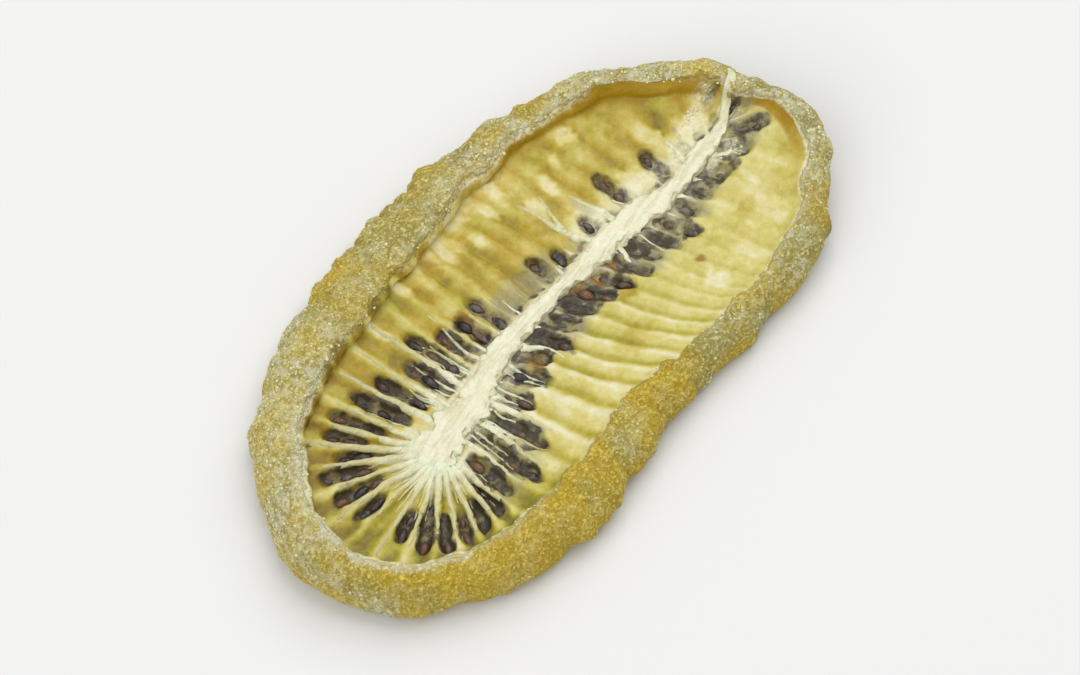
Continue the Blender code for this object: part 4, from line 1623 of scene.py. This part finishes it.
    def base_tone(self, streak: Array) -> Array:
        """How light the flesh is before its patches: 0 deep, 1 cream, with painted highlights and painted
        shade on the fingers and lumps.

        Args:
            streak: noise drawn out along the ribs.

        Returns:
            A value for each vertex.
        """
        marks = self.marks
        ridge, fan, septum = marks.ridge, marks.fan, marks.septum
        rooted = 1 - eased((marks.away - 3.2 - 0.9 * streak) / 1.8)
        fan_tone = 0.12 + 0.12 * streak + 0.55 * rooted + (0.70 - 0.10 * marks.share) * septum
        signed = (marks.place + 0.5) % 1 - 0.5
        # Painted light on the fingers: a pale painted highlight on the lit side of each, and painted shade
        # in the groove beside it.
        lines = 0.20 * bell(signed, 0.20, 0.16) - 0.26 * bell(ridge, 0.0, 0.30)
        finger_tone = 0.66 + lines * self.groove_share(marks) + 0.08 * streak
        # The lumps on the left are lighter on their ridges and darker between them: partly the flesh's
        # marbling, partly painted highlight and painted shade.
        lump_tone = 0.37 - 0.10 * eased((marks.along - 0.4) / 0.2) + 0.24 * streak + 0.28 * ridge
        beside_tone = marks.left * lump_tone + (1 - marks.left) * finger_tone
        tone = fan * fan_tone + (1 - fan) * beside_tone
        tone = toward(tone, 1.0, marks.pale)
        root = 1 - eased((marks.off - 0.30 - 0.8 * septum - 0.35 * marks.fine) / 0.5)
        return toward(tone, 1.0, root)

    def paint(self, name: str, values: Array, most: float = 1.0) -> None:
        """Writes an attribute that the finish reads, kept from 0 to its most."""
        set_attribute(self.mesh, name, np.clip(values, 0, most))

    def paint_flesh(self) -> None:
        """Works out where each colour between the pith and the rim shows."""
        marks = self.marks
        left, fan, septum, fine = marks.left, marks.fan, marks.septum, marks.fine
        streak = self.streaks(self.tone_streaks)
        blotch = self.lumps(self.blotch_lumps)
        patches = self.patch_masks()
        golden = marks.ends * eased(marks.wall / 0.3) * (1 - marks.skin) * (1.1 + 0.3 * blotch)
        # The dip in tone near the top of the left inner wall is a painted shadow under the rim's overhang.
        tone = self.base_tone(streak) - 0.30 * left * bell(marks.wall, 0.9, 0.12)
        walls = septum * (0.25 + 0.3 * left + 0.45 * fine) * marks.zone * (1 - fan)
        tone = toward(toward(tone, 0.88, walls), 0.30, golden)
        for tint, level, share in self.patch_levels:
            tone = toward(tone, level, share * patches[tint])
        self.paint("tone", tone)
        amber_side = 0.85 * fan * bell(marks.turn, *self.amber_bell) * (1 - septum)
        # On the left the amber is stronger in the hollows between the lumps: partly the flesh's amber,
        # partly painted shade.
        warm = left * (0.72 + 0.25 * streak - 0.28 * marks.ridge) * (1 - fan) + amber_side
        warm = np.clip(warm + golden + 0.15 + 0.12 * streak, 0, 1) * (1 - patches[Tint.GREEN])
        warm = warm * (1 - 0.5 * patches[Tint.PALE]) * (1 - 0.8 * marks.pale)
        self.paint("warm", np.maximum(warm, patches[Tint.AMBER]))
        self.paint("honey", np.maximum(golden, patches[Tint.HONEY]))
        self.paint("spot", patches[Tint.BROWN])
        self.paint("dust", patches[Tint.FROST] * (0.8 + 0.6 * fine))
        self.paint_pockets(blotch, patches)

    def paint_pockets(self, blotch: Array, patches: dict[Tint, Array]) -> None:
        """Works out where the pockets of the seeds are clear, dark and hazy, and where painted shade and
        painted highlights fall in them.

        Args:
            blotch: noise in blotches.
            patches: the patches' masks.
        """
        marks = self.marks
        fan, left, fine = marks.fan, marks.left, marks.fine
        closed = marks.septum * (0.50 + 0.35 * left + 0.3 * fine * (1 - fan))
        pocket = marks.zone * (1 - np.clip(closed, 0, 1))
        gel = np.maximum(pocket * self.beside_pith(self.left_gel, self.right_gel), patches[Tint.GEL])
        self.paint("gel", gel * (0.85 + 0.25 * fine), self.pocket_most)
        murk = marks.dark * pocket * (0.60 + 0.20 * fan + 0.8 * blotch)
        # Painted contact shadow in the pockets beside the pith.
        contact_shadow = pocket * (1 - eased(marks.off / 1.8)) * (0.5 + 0.6 * blotch)
        lone = left * eased((marks.along - 0.34) / 0.1)
        round_seed = 1 - eased((marks.near - 0.75) / (0.38 + 0.65 * lone))
        seed_shade = (0.6 + 0.15 * lone) * round_seed * (0.85 + 0.3 * fine)
        # The shade attribute: the dark of seeds, gel and dark patches in the pockets, with painted shade,
        # namely the contact shadow and the darkening round each seed in its socket.
        shade = np.max([murk, contact_shadow, seed_shade, 0.85 * patches[Tint.DARK]], axis=0)
        self.paint("shade", shade, self.pocket_most)
        # Lilac-grey haze in the pockets: partly a thin film, partly painted wet highlights.
        haze_and_glint = eased((self.noise_at(57, 0.55) - 0.25) / 0.4) * pocket
        self.paint("haze_and_glint", 0.6 * haze_and_glint * (marks.near > 1) * marks.dark)

    def paint_rim(self) -> None:
        """Works out where the rim is golden, frosted, rusty and pale, with a painted highlight along its
        crest.
        """
        marks = self.marks
        rim = marks.skin
        broad = self.noise_at(53, 2.6)
        golden = sum(self.bells(self.golden_bells))
        # Painted highlight on the crest: the higher the rim stands, the more pale frost it gets, and in the
        # band more gold.
        crest = eased((marks.points[:, 2] - 3.4) / 1.8)
        band = bell(marks.turn, *self.band_bell)
        frost = 0.04 + sum(self.bells(self.frost_bells)) + 0.75 * self.lumps(self.frost_lumps)
        frost = frost - 0.2 * golden + 0.28 * crest + band * (0.45 - 1.0 * crest)
        rust = eased(self.rim_folds(0.3) * 2.5) * bell(marks.turn, *self.rust_bell)
        edge = (0.4 + sum(self.bells(self.lip_bells))) * (0.85 + 0.35 * marks.fine)
        self.paint("skin", rim)
        self.paint("gold", 0.18 + 0.95 * golden + 0.9 * broad + 0.4 * band * crest)
        self.paint("frost", np.clip(frost, 0, 1) * rim)
        self.paint("olive", eased(1.6 * self.noise_at(97, 1.5) + 0.5 * marks.fine - 0.2) * rim)
        self.paint("rust", (rust + 0.4 * eased(broad * 2 - 0.5)) * rim)
        # The pale lip along the inner crest: partly its pale edge, partly a painted highlight.
        self.paint("lip", marks.lip * edge * (1 - marks.bare * (1 - rim)))


class Ground:
    """Finds the surface of the finished body."""

    RAY_START = 0.05

    def __init__(self, piece: Piece) -> None:
        """Keeps the body's faces for rays."""
        corners = [vertex.co.copy() for vertex in piece.data.vertices]
        self.tree = BVHTree.FromPolygons(corners, [tuple(face.vertices) for face in piece.data.polygons])

    def height(self, x: float, y: float, side: Side = Side.TOP) -> float:
        """The height of a face at a place, all in millimetres."""
        start = Vector((x * MM, y * MM, side.value * self.RAY_START))
        hit = self.tree.ray_cast(start, Vector((0, 0, -side.value)))[0]
        return hit.z / MM if hit else 0.0

    def line(self, x: Array, y: Array, window: int) -> Array:
        """The heights of the upper face along a line, evened over a window of its points."""
        heights = np.pad([self.height(*spot) for spot in zip(x, y)], window // 2, mode="edge")
        return np.convolve(heights, np.ones(window) / window, mode="valid")


# ---- the pith and its fibres


@dataclass
class Pith:
    """The pale core that shows on both faces, from its frayed broad end to its climb into the rim.

    Its points are x, y and half its width there, in the frame of the part. Its frays are the strength and
    the size of each layer of noise. It fades at its edge (how much, how sharply), at its broad end (how
    much, from where, over how long) and where it climbs.
    """

    form: SliceForm
    ground: Ground
    points: Rows = (
        (-17.9, -1.0, 1.3), (-16.9, -1.0, 2.0), (-15.8, -0.9, 2.35), (-14.4, -0.8, 2.05),
        (-13.0, -0.75, 1.75), (-10.0, -1.0, 1.75), (-8.4, -0.6, 1.4), (-7.0, -0.25, 1.2), (-4.0, 0.0, 1.15),
        (-1.6, -0.1, 1.0), (0.0, -0.25, 0.9), (4.0, -0.65, 0.72), (7.0, -1.15, 1.0), (10.0, -1.4, 1.3),
        (13.0, -1.7, 1.25), (16.0, -2.7, 1.15), (19.0, -3.2, 0.8), (22.0, -3.3, 0.85), (25.0, -3.4, 0.5),
        (27.0, -2.6, 0.4), (28.4, -2.0, 0.45), (29.2, -1.5, 0.4), (29.7, -1.0, 0.3),
    )
    climb_from: float = 24.0
    climb_run: float = 2.5
    stations: int = 480
    corners: int = 36
    window: int = 9
    sunk: float = 0.14
    proud_below: float = 0.08
    over_rim: float = 0.10
    roundness: float = 5.0
    ragged: float = 0.25
    frays: Rows = ((0.8, 2.0), (1.0, 0.9), (1.1, 0.4))
    fray_round: float = 2.2
    grain_height: float = 0.10
    grain_squeeze: tuple[float, float, float] = (0.35, 1.6, 1.6)
    grain_size: float = 0.8
    tip_depth: float = 0.7
    end_length: float = 1.2
    end_slope: float = 4.5
    end_drop: float = 0.75
    end_power: float = 0.3
    tip_length: float = 0.8
    edge_fade: Span = (0.3, 8)
    end_fade: tuple[float, float, float] = (0.75, 0.2, 1.1)
    climb_fade: float = 0.15

    def levels(self, x: Array, y: Array) -> tuple[Array, Array, Array]:
        """The heights of the pith's two faces, and how far it has climbed the rim.

        Args:
            x: the stations' x.
            y: the stations' y.

        Returns:
            The top, the bottom and the climb from 0 to 1.
        """
        lift = self.form.lift(x + self.form.shift[0])
        climb = eased((x - self.climb_from) / self.climb_run)
        top = self.form.flesh_height + self.form.core_rise + lift - self.sunk
        top = np.maximum(top, self.ground.line(x, y, self.window) + self.over_rim * climb)
        bottom = self.form.under_core_height + lift - self.proud_below
        return top, bottom * (1 - climb) + (top - self.tip_depth) * climb, climb

    def section(self) -> tuple[Array, Array]:
        """The tube's section, a rounded oblong: places out and up, from -1 to 1, back to the first."""
        turn = np.linspace(0, math.tau, self.corners + 1)
        turn[-1] = 0
        power = 2 / self.roundness
        return tuple(np.sign(way) * np.abs(way) ** power for way in (np.cos(turn), np.sin(turn)))

    def build(self) -> Piece:
        """Models the pith as a closed tube: a grid whose rows are rings round the middle line."""
        line = smooth_curve(self.points, closed=False)
        way = np.concatenate([[0], np.cumsum(np.hypot(*np.diff(line[:, :2], axis=0).T))])
        at = np.linspace(0, way[-1], self.stations)
        x, y, half = (np.interp(at, way, line[:, i]) for i in range(3))
        top, bottom, climb = (level[:, None] for level in self.levels(x, y))
        slope = np.stack([np.gradient(x), np.gradient(y)])
        along_x, along_y = (slope / np.hypot(*slope))[:, :, None]
        x, y, half, at = (values[:, None] for values in (x, y, half, at))
        ends = np.sqrt(1 - (1 - np.clip(at / self.end_length, 0, 1)) ** 2)
        ends = ends * np.sqrt(np.clip((way[-1] - at) / self.tip_length, 0, 1))
        out, up = self.section()
        around = np.broadcast_arrays(at, self.fray_round * out, self.fray_round * up)
        spots, noise = np.stack(around, axis=2).reshape(-1, 3), ValueNoise(23)
        fray = sum(
            self.ragged * strength * noise.at(spots + 9 * layer, size)
            for layer, (strength, size) in enumerate(self.frays)
        ).reshape(around[0].shape)
        grain = noise.at(spots * self.grain_squeeze + 30, self.grain_size).reshape(fray.shape)
        down = self.end_drop * (1 - eased(at / self.end_slope)) * (up > 0)
        rise = (top - bottom) / 2 * ends**self.end_power
        height = (top + bottom) / 2 + (rise + self.grain_height * grain - down) * up
        offset = half * out * (1 + fray) * ends
        piece = add_grid("kiwi_pith", self.corners, self.stations - 1)
        places = np.stack([x - along_y * offset, y + along_x * offset, height], axis=2)
        move_vertices(piece.data, places * MM)
        edge, power = self.edge_fade
        blunt, start, run = self.end_fade
        fade = self.climb_fade * climb + edge * np.abs(out) ** power
        set_attribute(piece.data, "fade", fade + blunt * (1 - eased((at - start) / run)))
        close_skin(piece)
        return piece


@dataclass
class Fibres:
    """The roots of the pith, the pale walls between the seeds, and stray fibres.

    Stray ones are x, y points in the frame of the part, and the radius at their first point.
    """

    form: SliceForm
    ground: Ground
    ribbon_radius: Span = (0.46, 0.20)
    ribbon_end: Span = (0.78, 1.02)
    ribbon_fan: float = 0.45
    tooth_radius: Span = (0.40, 0.10)
    tooth_length: Span = (-0.3, 1.1)
    hair_radius: Span = (0.22, 0.09)
    hair_length: Span = (1.5, 5.5)
    hair_fan: float = 0.1
    hairs: int = 2
    thickness: Span = (0.6, 1.2)
    from_pith: float = 0.6
    sink: float = 0.72
    step: float = 0.25
    window: int = 3
    knots: float = 0.25
    jitter: float = 0.07
    fade_from: float = 2.0
    fade_run: float = 10.0
    fade_most: float = 0.7
    per_rib: int = 24
    stray: tuple = (
        (((9.9, -1.0), (9.5, 0.6), (9.1, 2.2), (8.9, 3.8), (8.9, 5.4), (8.6, 7.2)), 0.62),
        (((9.2, 2.6), (9.7, 4.4), (10.5, 6.2)), 0.34),
        (((12.5, -0.9), (12.6, 1.0), (12.4, 2.6), (12.2, 4.2)), 0.56),
        (((-5.7, 1.0), (-5.6, 2.6), (-5.3, 4.6), (-5.0, 7.2)), 0.28),
        (((0.1, 0.6), (0.15, 1.6), (0.35, 3.0)), 0.22),
        (((-11.5, 0.6), (-11.6, 2.2), (-11.7, 4.6)), 0.30),
        (((-7.4, 1.0), (-7.3, 2.6), (-7.2, 4.6), (-7.9, 7.0)), 0.26),
        (((20.9, -2.6), (21.3, -1.2), (21.4, 0.0)), 0.55),
        (((14.2, -1.6), (14.4, -0.4), (14.1, 0.8)), 0.45),
        (((22.6, -4.0), (23.4, -4.9), (24.2, -5.4)), 0.70),
        (((-4.6, -1.1), (-4.5, -2.6), (-4.2, -4.8)), 0.26),
        (((-2.6, -1.2), (-1.8, -2.4), (-1.4, -3.6), (-1.5, -5.0)), 0.32),
        (((-10.5, -2.8), (-10.4, -5.2), (-10.0, -7.6), (-9.7, -9.6)), 0.30),
        (((-8.2, -1.8), (-7.7, -2.6), (-7.3, -3.6)), 0.32),
        (((10.6, -2.2), (10.2, -3.4), (9.9, -4.2)), 0.42),
        (((12.6, -2.6), (12.6, -4.4), (12.4, -6.2)), 0.20),
    )

    def build(self) -> Piece:
        """Draws every fibre as a curve with a round section and makes the curve a mesh."""
        curve = bpy.data.curves.new("kiwi_fibres", "CURVE")
        curve.dimensions = "3D"
        curve.bevel_depth = MM
        curve.bevel_resolution = 3
        curve.use_fill_caps = True
        for points, radii in self.lines():
            self.add_spline(curve, points, radii)
        work_on(put_in("kiwi_fibres", curve))
        bpy.ops.object.convert(target="MESH")
        piece = bpy.context.object
        places = vertex_array(piece.data)[:, :2] / MM
        core = self.form.core_line[::4] - self.form.shift
        off = np.min([np.hypot(*(places - spot).T) for spot in core], axis=0)
        noise = ValueNoise(41).at(np.column_stack([places, 0 * off]), 1.2)
        fade = (off - self.fade_from) / self.fade_run + 0.12 * noise
        set_attribute(piece.data, "fade", np.clip(fade, 0, self.fade_most))
        return piece

    def tapered(self, radii: Span, count: int) -> Array:
        """Radii that shrink from the first to the last over a number of points."""
        return radii[1] + (radii[0] - radii[1]) * np.linspace(1, 0, count) ** 1.3

    def rib_line(self, spokes: Spokes, rib: float, start: float, end: float) -> Array:
        """Points along a rib or a hollow, in the frame of the part.

        Args:
            spokes: many spokes, in order round the pith.
            rib: the rib's number, with a fraction for a line beside it.
            start: the first point's distance from the pith's middle line.
            end: the last point's distance.

        Returns:
            Rows of x, y.
        """
        distances = np.linspace(start, end, max(int((end - start) / self.step), 4))
        points = [self.form.on_rib(spokes, rib, distance)[:2] for distance in distances]
        return np.array(points) - self.form.shift

    def lines(self) -> list[tuple[Array, Array]]:
        """Every fibre as points seen from above and their radii."""
        draw = random.Random(31)
        form = self.form
        spokes = form.spokes(self.per_rib)
        walls = form.walls(spokes)[0]
        found = []
        for rib in range(1, form.rib_count() - form.tip_ribs):
            along = spokes.along[self.per_rib * rib]
            foot = float(form.core_half_width(along))
            start, fan = self.from_pith * foot, form.in_fan(along)
            if fan > self.ribbon_fan:
                end, radii = walls[self.per_rib * rib] * draw.uniform(*self.ribbon_end), self.ribbon_radius
            else:
                end, radii = foot + draw.uniform(*self.tooth_length), self.tooth_radius
            points = self.rib_line(spokes, float(rib), start, end)
            found.append((points, self.tapered(radii, len(points)) * draw.uniform(*self.thickness)))
            for _ in range(self.hairs if fan > self.hair_fan else 0):
                place = rib + draw.uniform(0.2, 0.8)
                points = self.rib_line(spokes, place, start, foot + draw.uniform(*self.hair_length))
                found.append((points, self.tapered(self.hair_radius, len(points))))
        for points, radius in self.stray:
            line = smooth_curve(points, closed=False, per_span=8)
            found.append((line, radius * np.linspace(1, 0.2, len(line)) ** 0.8))
        noise = ValueNoise(37)
        for points, radii in found:
            spots = np.column_stack([points, 0 * points[:, 0]])
            radii *= 1 + self.knots * noise.at(spots, 0.8)
            for column, shift in enumerate((5, 15)):
                points[:, column] += self.jitter * noise.at(spots + shift, 0.9)
        return found

    def add_spline(self, curve: bpy.types.Curve, points: Array, radii: Array) -> None:
        """Lays one fibre on the surface, mostly sunk in it, so that it shows as a flat ribbon.

        Args:
            curve: the curve that holds the fibres.
            points: the fibre seen from above.
            radii: its radius at each point.
        """
        spline = curve.splines.new("POLY")
        spline.points.add(len(points) - 1)
        heights = self.ground.line(*points.T, self.window) - self.sink * radii
        for point, (x, y), height, radius in zip(spline.points, points, heights, radii):
            point.co = (x * MM, y * MM, height * MM, 1)
            point.radius = radius


# ---- seeds and grains


@dataclass
class Seeds:
    """The seeds of both faces, as one piece."""

    form: SliceForm
    places: list[SeedPlace]
    ground: Ground
    length: float = 1.95
    width: float = 1.06
    thickness: float = 0.95
    segments: int = 12
    rings: int = 8
    taper: float = 0.6
    rises: Span = (-0.48, 0.04)
    tips: Span = (-9, 9)
    widths: Span = (0.68, 1.1)
    lengths: Span = (0.86, 1.06)
    veiled_from: float = 9.0
    veil: float = 0.85
    veil_depth: float = 0.16
    veil_darkens: float = 0.6
    tone_power: float = 2.0
    film_and_glint_power: float = 1.4

    def base(self) -> Piece:
        """One seed: a sphere drawn out along X, with a pointed end at -X."""
        deselect()
        bpy.ops.mesh.primitive_uv_sphere_add(
            segments=self.segments, ring_count=self.rings, radius=0.5, rotation=(0, math.pi / 2, 0)
        )
        seed = fresh("seed_base")
        bpy.ops.object.transform_apply(rotation=True)
        with editing(seed):
            bpy.ops.transform.resize(value=(self.length * MM, self.width * MM, self.thickness * MM))
        points = vertex_array(seed.data)
        narrow = 1 - self.taper * np.clip(-2 * points[:, 0] / (self.length * MM), 0, 1) ** 2
        points[:, 1:] *= narrow[:, None]
        move_vertices(seed.data, points)
        return seed

    def build(self) -> Piece:
        """Copies the seed to every place."""
        draw = random.Random(43)
        places, frames, tones, film_and_glint_values = [], [], [], []
        for seed in self.places:
            x, y = seed.x - self.form.shift[0], seed.y - self.form.shift[1]
            rise = draw.uniform(*self.rises)
            turn, tip = math.radians(seed.turn), math.radians(draw.uniform(*self.tips))
            flat = math.cos(tip)
            along = np.array([math.cos(turn) * flat, math.sin(turn) * flat, math.sin(tip)])
            across = np.array([-math.sin(turn), math.cos(turn), 0.0])
            wide = draw.uniform(*self.widths)
            long = seed.stretch * draw.uniform(*self.lengths)
            frames.append(np.stack([along * long, across * wide, np.cross(along, across)], axis=1))
            veiled = self.veil * (x > self.veiled_from and y < 0)
            rise -= self.veil_depth * veiled
            places.append((x, y, self.ground.height(x, y, seed.side) + seed.side.value * rise))
            tones.append(draw.random() ** self.tone_power * (1 - self.veil_darkens * veiled))
            # The film: full on veiled seeds, at random elsewhere; partly painted highlight flecks.
            film_and_glint_values.append(max(draw.random() ** self.film_and_glint_power, veiled))
        tints = {"tone": np.array(tones), "film_and_glint": np.array(film_and_glint_values)}
        return copied_mesh("kiwi_seeds", self.base(), np.array(places) * MM, np.array(frames), tints)


@dataclass
class SugarFrost:
    """Sugar grains on the rim and a few on the flesh, as one piece."""

    flesh: Piece
    count: int = 5600
    sizes: Span = (0.06, 0.21)
    shrinks: Span = (0.6, 1.0)
    stretches: Span = (0.75, 1.3)
    flatness: float = 0.6
    uneven: float = 0.25
    proud: float = 0.10
    dust_share: float = 2.2
    rim_share: float = 0.6
    frost_share: float = 0.8
    lowest: float = 0.5
    tone: Span = (0.46, 0.24)
    tone_of_frost: float = 0.35
    tone_of_gold: float = 0.22
    tone_of_flesh: float = 0.9

    def base(self) -> Piece:
        """One grain: a small faceted ball of uneven corners."""
        deselect()
        bpy.ops.mesh.primitive_ico_sphere_add(subdivisions=1, radius=1.0)
        grain = fresh("grain_base")
        with editing(grain):
            bpy.ops.transform.vertex_random(offset=self.uneven, seed=5)
        return grain

    def build(self) -> Piece:
        """Scatters the grains over the rim's faces by their area and frost."""
        mesh = self.flesh.data
        mesh.calc_loop_triangles()
        corners = np.empty((len(mesh.loop_triangles), 3), np.int32)
        mesh.loop_triangles.foreach_get("vertices", corners.ravel())
        points = vertex_array(mesh)[corners]
        names = ("skin", "frost", "dust", "gold")
        rim, frost, dust, gold = (get_attribute(mesh, name)[corners] for name in names)
        start, one, other = points[:, 0], points[:, 1] - points[:, 0], points[:, 2] - points[:, 0]
        cross = np.cross(one, other)
        double_area = np.linalg.norm(cross, axis=1)
        on_rim = rim.mean(axis=1)
        on_flesh = self.dust_share * dust.mean(axis=1) ** 2
        weight = on_flesh + on_rim * (self.rim_share + self.frost_share * frost.mean(axis=1))
        weight = double_area * weight * (points[:, :, 2].mean(axis=1) >= self.lowest * MM)
        draw = np.random.default_rng(59)
        chosen = draw.choice(len(weight), self.count, p=weight / weight.sum())
        u, v = draw.random(self.count), draw.random(self.count)
        over = u + v > 1
        u[over], v[over] = 1 - u[over], 1 - v[over]
        places = start[chosen] + u[:, None] * one[chosen] + v[:, None] * other[chosen]
        normal = cross[chosen] / double_area[chosen, None]
        size, frames = self.frames(draw, normal)
        places = places + normal * self.proud * size
        gold = (gold * rim)[chosen, 0]
        tone = draw.normal(*self.tone, self.count) + self.tone_of_frost * frost[chosen, 0]
        tone = np.clip(tone, 0, 1) - self.tone_of_gold * gold + self.tone_of_flesh * (1 - on_rim[chosen])
        tints = {"tone": np.clip(tone, 0, 1), "gold": gold}
        return copied_mesh("sugar_grains", self.base(), places, frames, tints)

    def frames(self, draw: np.random.Generator, normal: Array) -> tuple[Array, Array]:
        """The grains' sizes and axes.

        Args:
            draw: the seeded draw.
            normal: the surface's direction at each grain.

        Returns:
            A column of sizes in metres, and the axes with their lengths as three columns for each grain.
        """
        size = draw.uniform(*self.sizes, self.count) * draw.uniform(*self.shrinks, self.count) * MM
        first = np.cross(normal, draw.normal(size=(self.count, 3)))
        first /= np.linalg.norm(first, axis=1)[:, None]
        stretch = draw.uniform(*self.stretches, (self.count, 2))
        axes = np.stack([first, np.cross(normal, first), normal], axis=2)
        lengths = np.column_stack([stretch, np.full(self.count, self.flatness)]) * size[:, None]
        return size[:, None], axes * lengths[:, None, :]


# ---- studio


@dataclass
class Studio:
    """A pale floor, soft light and the camera.

    Lamps are the name, the turn from the camera's azimuth, the elevation and the power in watts.
    """

    azimuth: float = -55.0
    elevation: float = 62.0
    distance: float = 0.6
    lens: float = 228.0
    nearest: float = 0.01
    aim: tuple[float, float, float] = (-0.0004, -0.0016, 0.00175)
    floor_size: float = 4.0
    floor_colour: Colour = (0.77, 0.77, 0.765)
    floor_roughness: float = 0.9
    sky: float = 0.45
    lamps: tuple = (("key", 155, 58, 5.6), ("fill", -40, 46, 3.9))
    lamp_size: float = 0.9
    lamp_distance: float = 0.9

    def aim_from(self, piece: Piece, azimuth: float, elevation: float, distance: float) -> None:
        """Puts a lamp or the camera at angles from the slice and turns it there.

        Args:
            piece: the lamp or the camera.
            azimuth: its direction, 0 in front.
            elevation: its height angle.
            distance: how far it is, in metres.
        """
        a, e = math.radians(azimuth), math.radians(elevation)
        side = Vector((math.sin(a) * math.cos(e), -math.cos(a) * math.cos(e), math.sin(e)))
        piece.location = Vector(self.aim) + distance * side
        piece.rotation_euler = side.to_track_quat("Z", "Y").to_euler()

    def build(self) -> None:
        """Sets up the floor, the light and the camera."""
        deselect()
        bpy.ops.mesh.primitive_plane_add(size=self.floor_size)
        floor = fresh("floor")
        material, book, shader = open_material("pale_floor")
        book.give(shader, {"Base Color": self.floor_colour, "Roughness": self.floor_roughness})
        floor.data.materials.append(material)
        for name, turn, elevation, power in self.lamps:
            data = bpy.data.lights.new(name, "AREA")
            data.size = self.lamp_size
            data.energy = power
            self.aim_from(put_in(name, data), self.azimuth + turn, elevation, self.lamp_distance)
        scene = bpy.context.scene
        scene.world = bpy.data.worlds.new("soft_sky")
        scene.world.use_nodes = True
        tree = scene.world.node_tree
        NodeBook(tree).give(tree.nodes["Background"], {"Color": (1, 1, 1), "Strength": self.sky})
        data = bpy.data.cameras.new("camera")
        data.lens = self.lens
        data.clip_start = self.nearest
        scene.camera = put_in("camera", data)
        self.aim_from(scene.camera, self.azimuth, self.elevation, self.distance)
        scene.view_settings.view_transform = "Standard"
        scene.view_settings.look = "None"


def main() -> None:
    """Builds and dresses every piece, then the studio."""
    logging.basicConfig(level=logging.INFO, format="%(name)s %(message)s")
    form = SliceForm()
    groups = SharedGroups()
    rule = SeedRule(form)
    places = rule.places()
    body = Flesh(form, rule, places).build()
    dress(body, FleshFinish(groups).make())
    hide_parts(NODE)
    ground = Ground(body)
    pith_finish = PithFinish(groups).make()
    dress(Pith(form, ground).build(), pith_finish)
    dress(Fibres(form, ground).build(), pith_finish)
    dress(Seeds(form, places, ground).build(), SeedFinish(groups).make())
    dress(SugarFrost(body).build(), FrostFinish(groups).make())
    Studio().build()


if __name__ == "__main__":
    main()
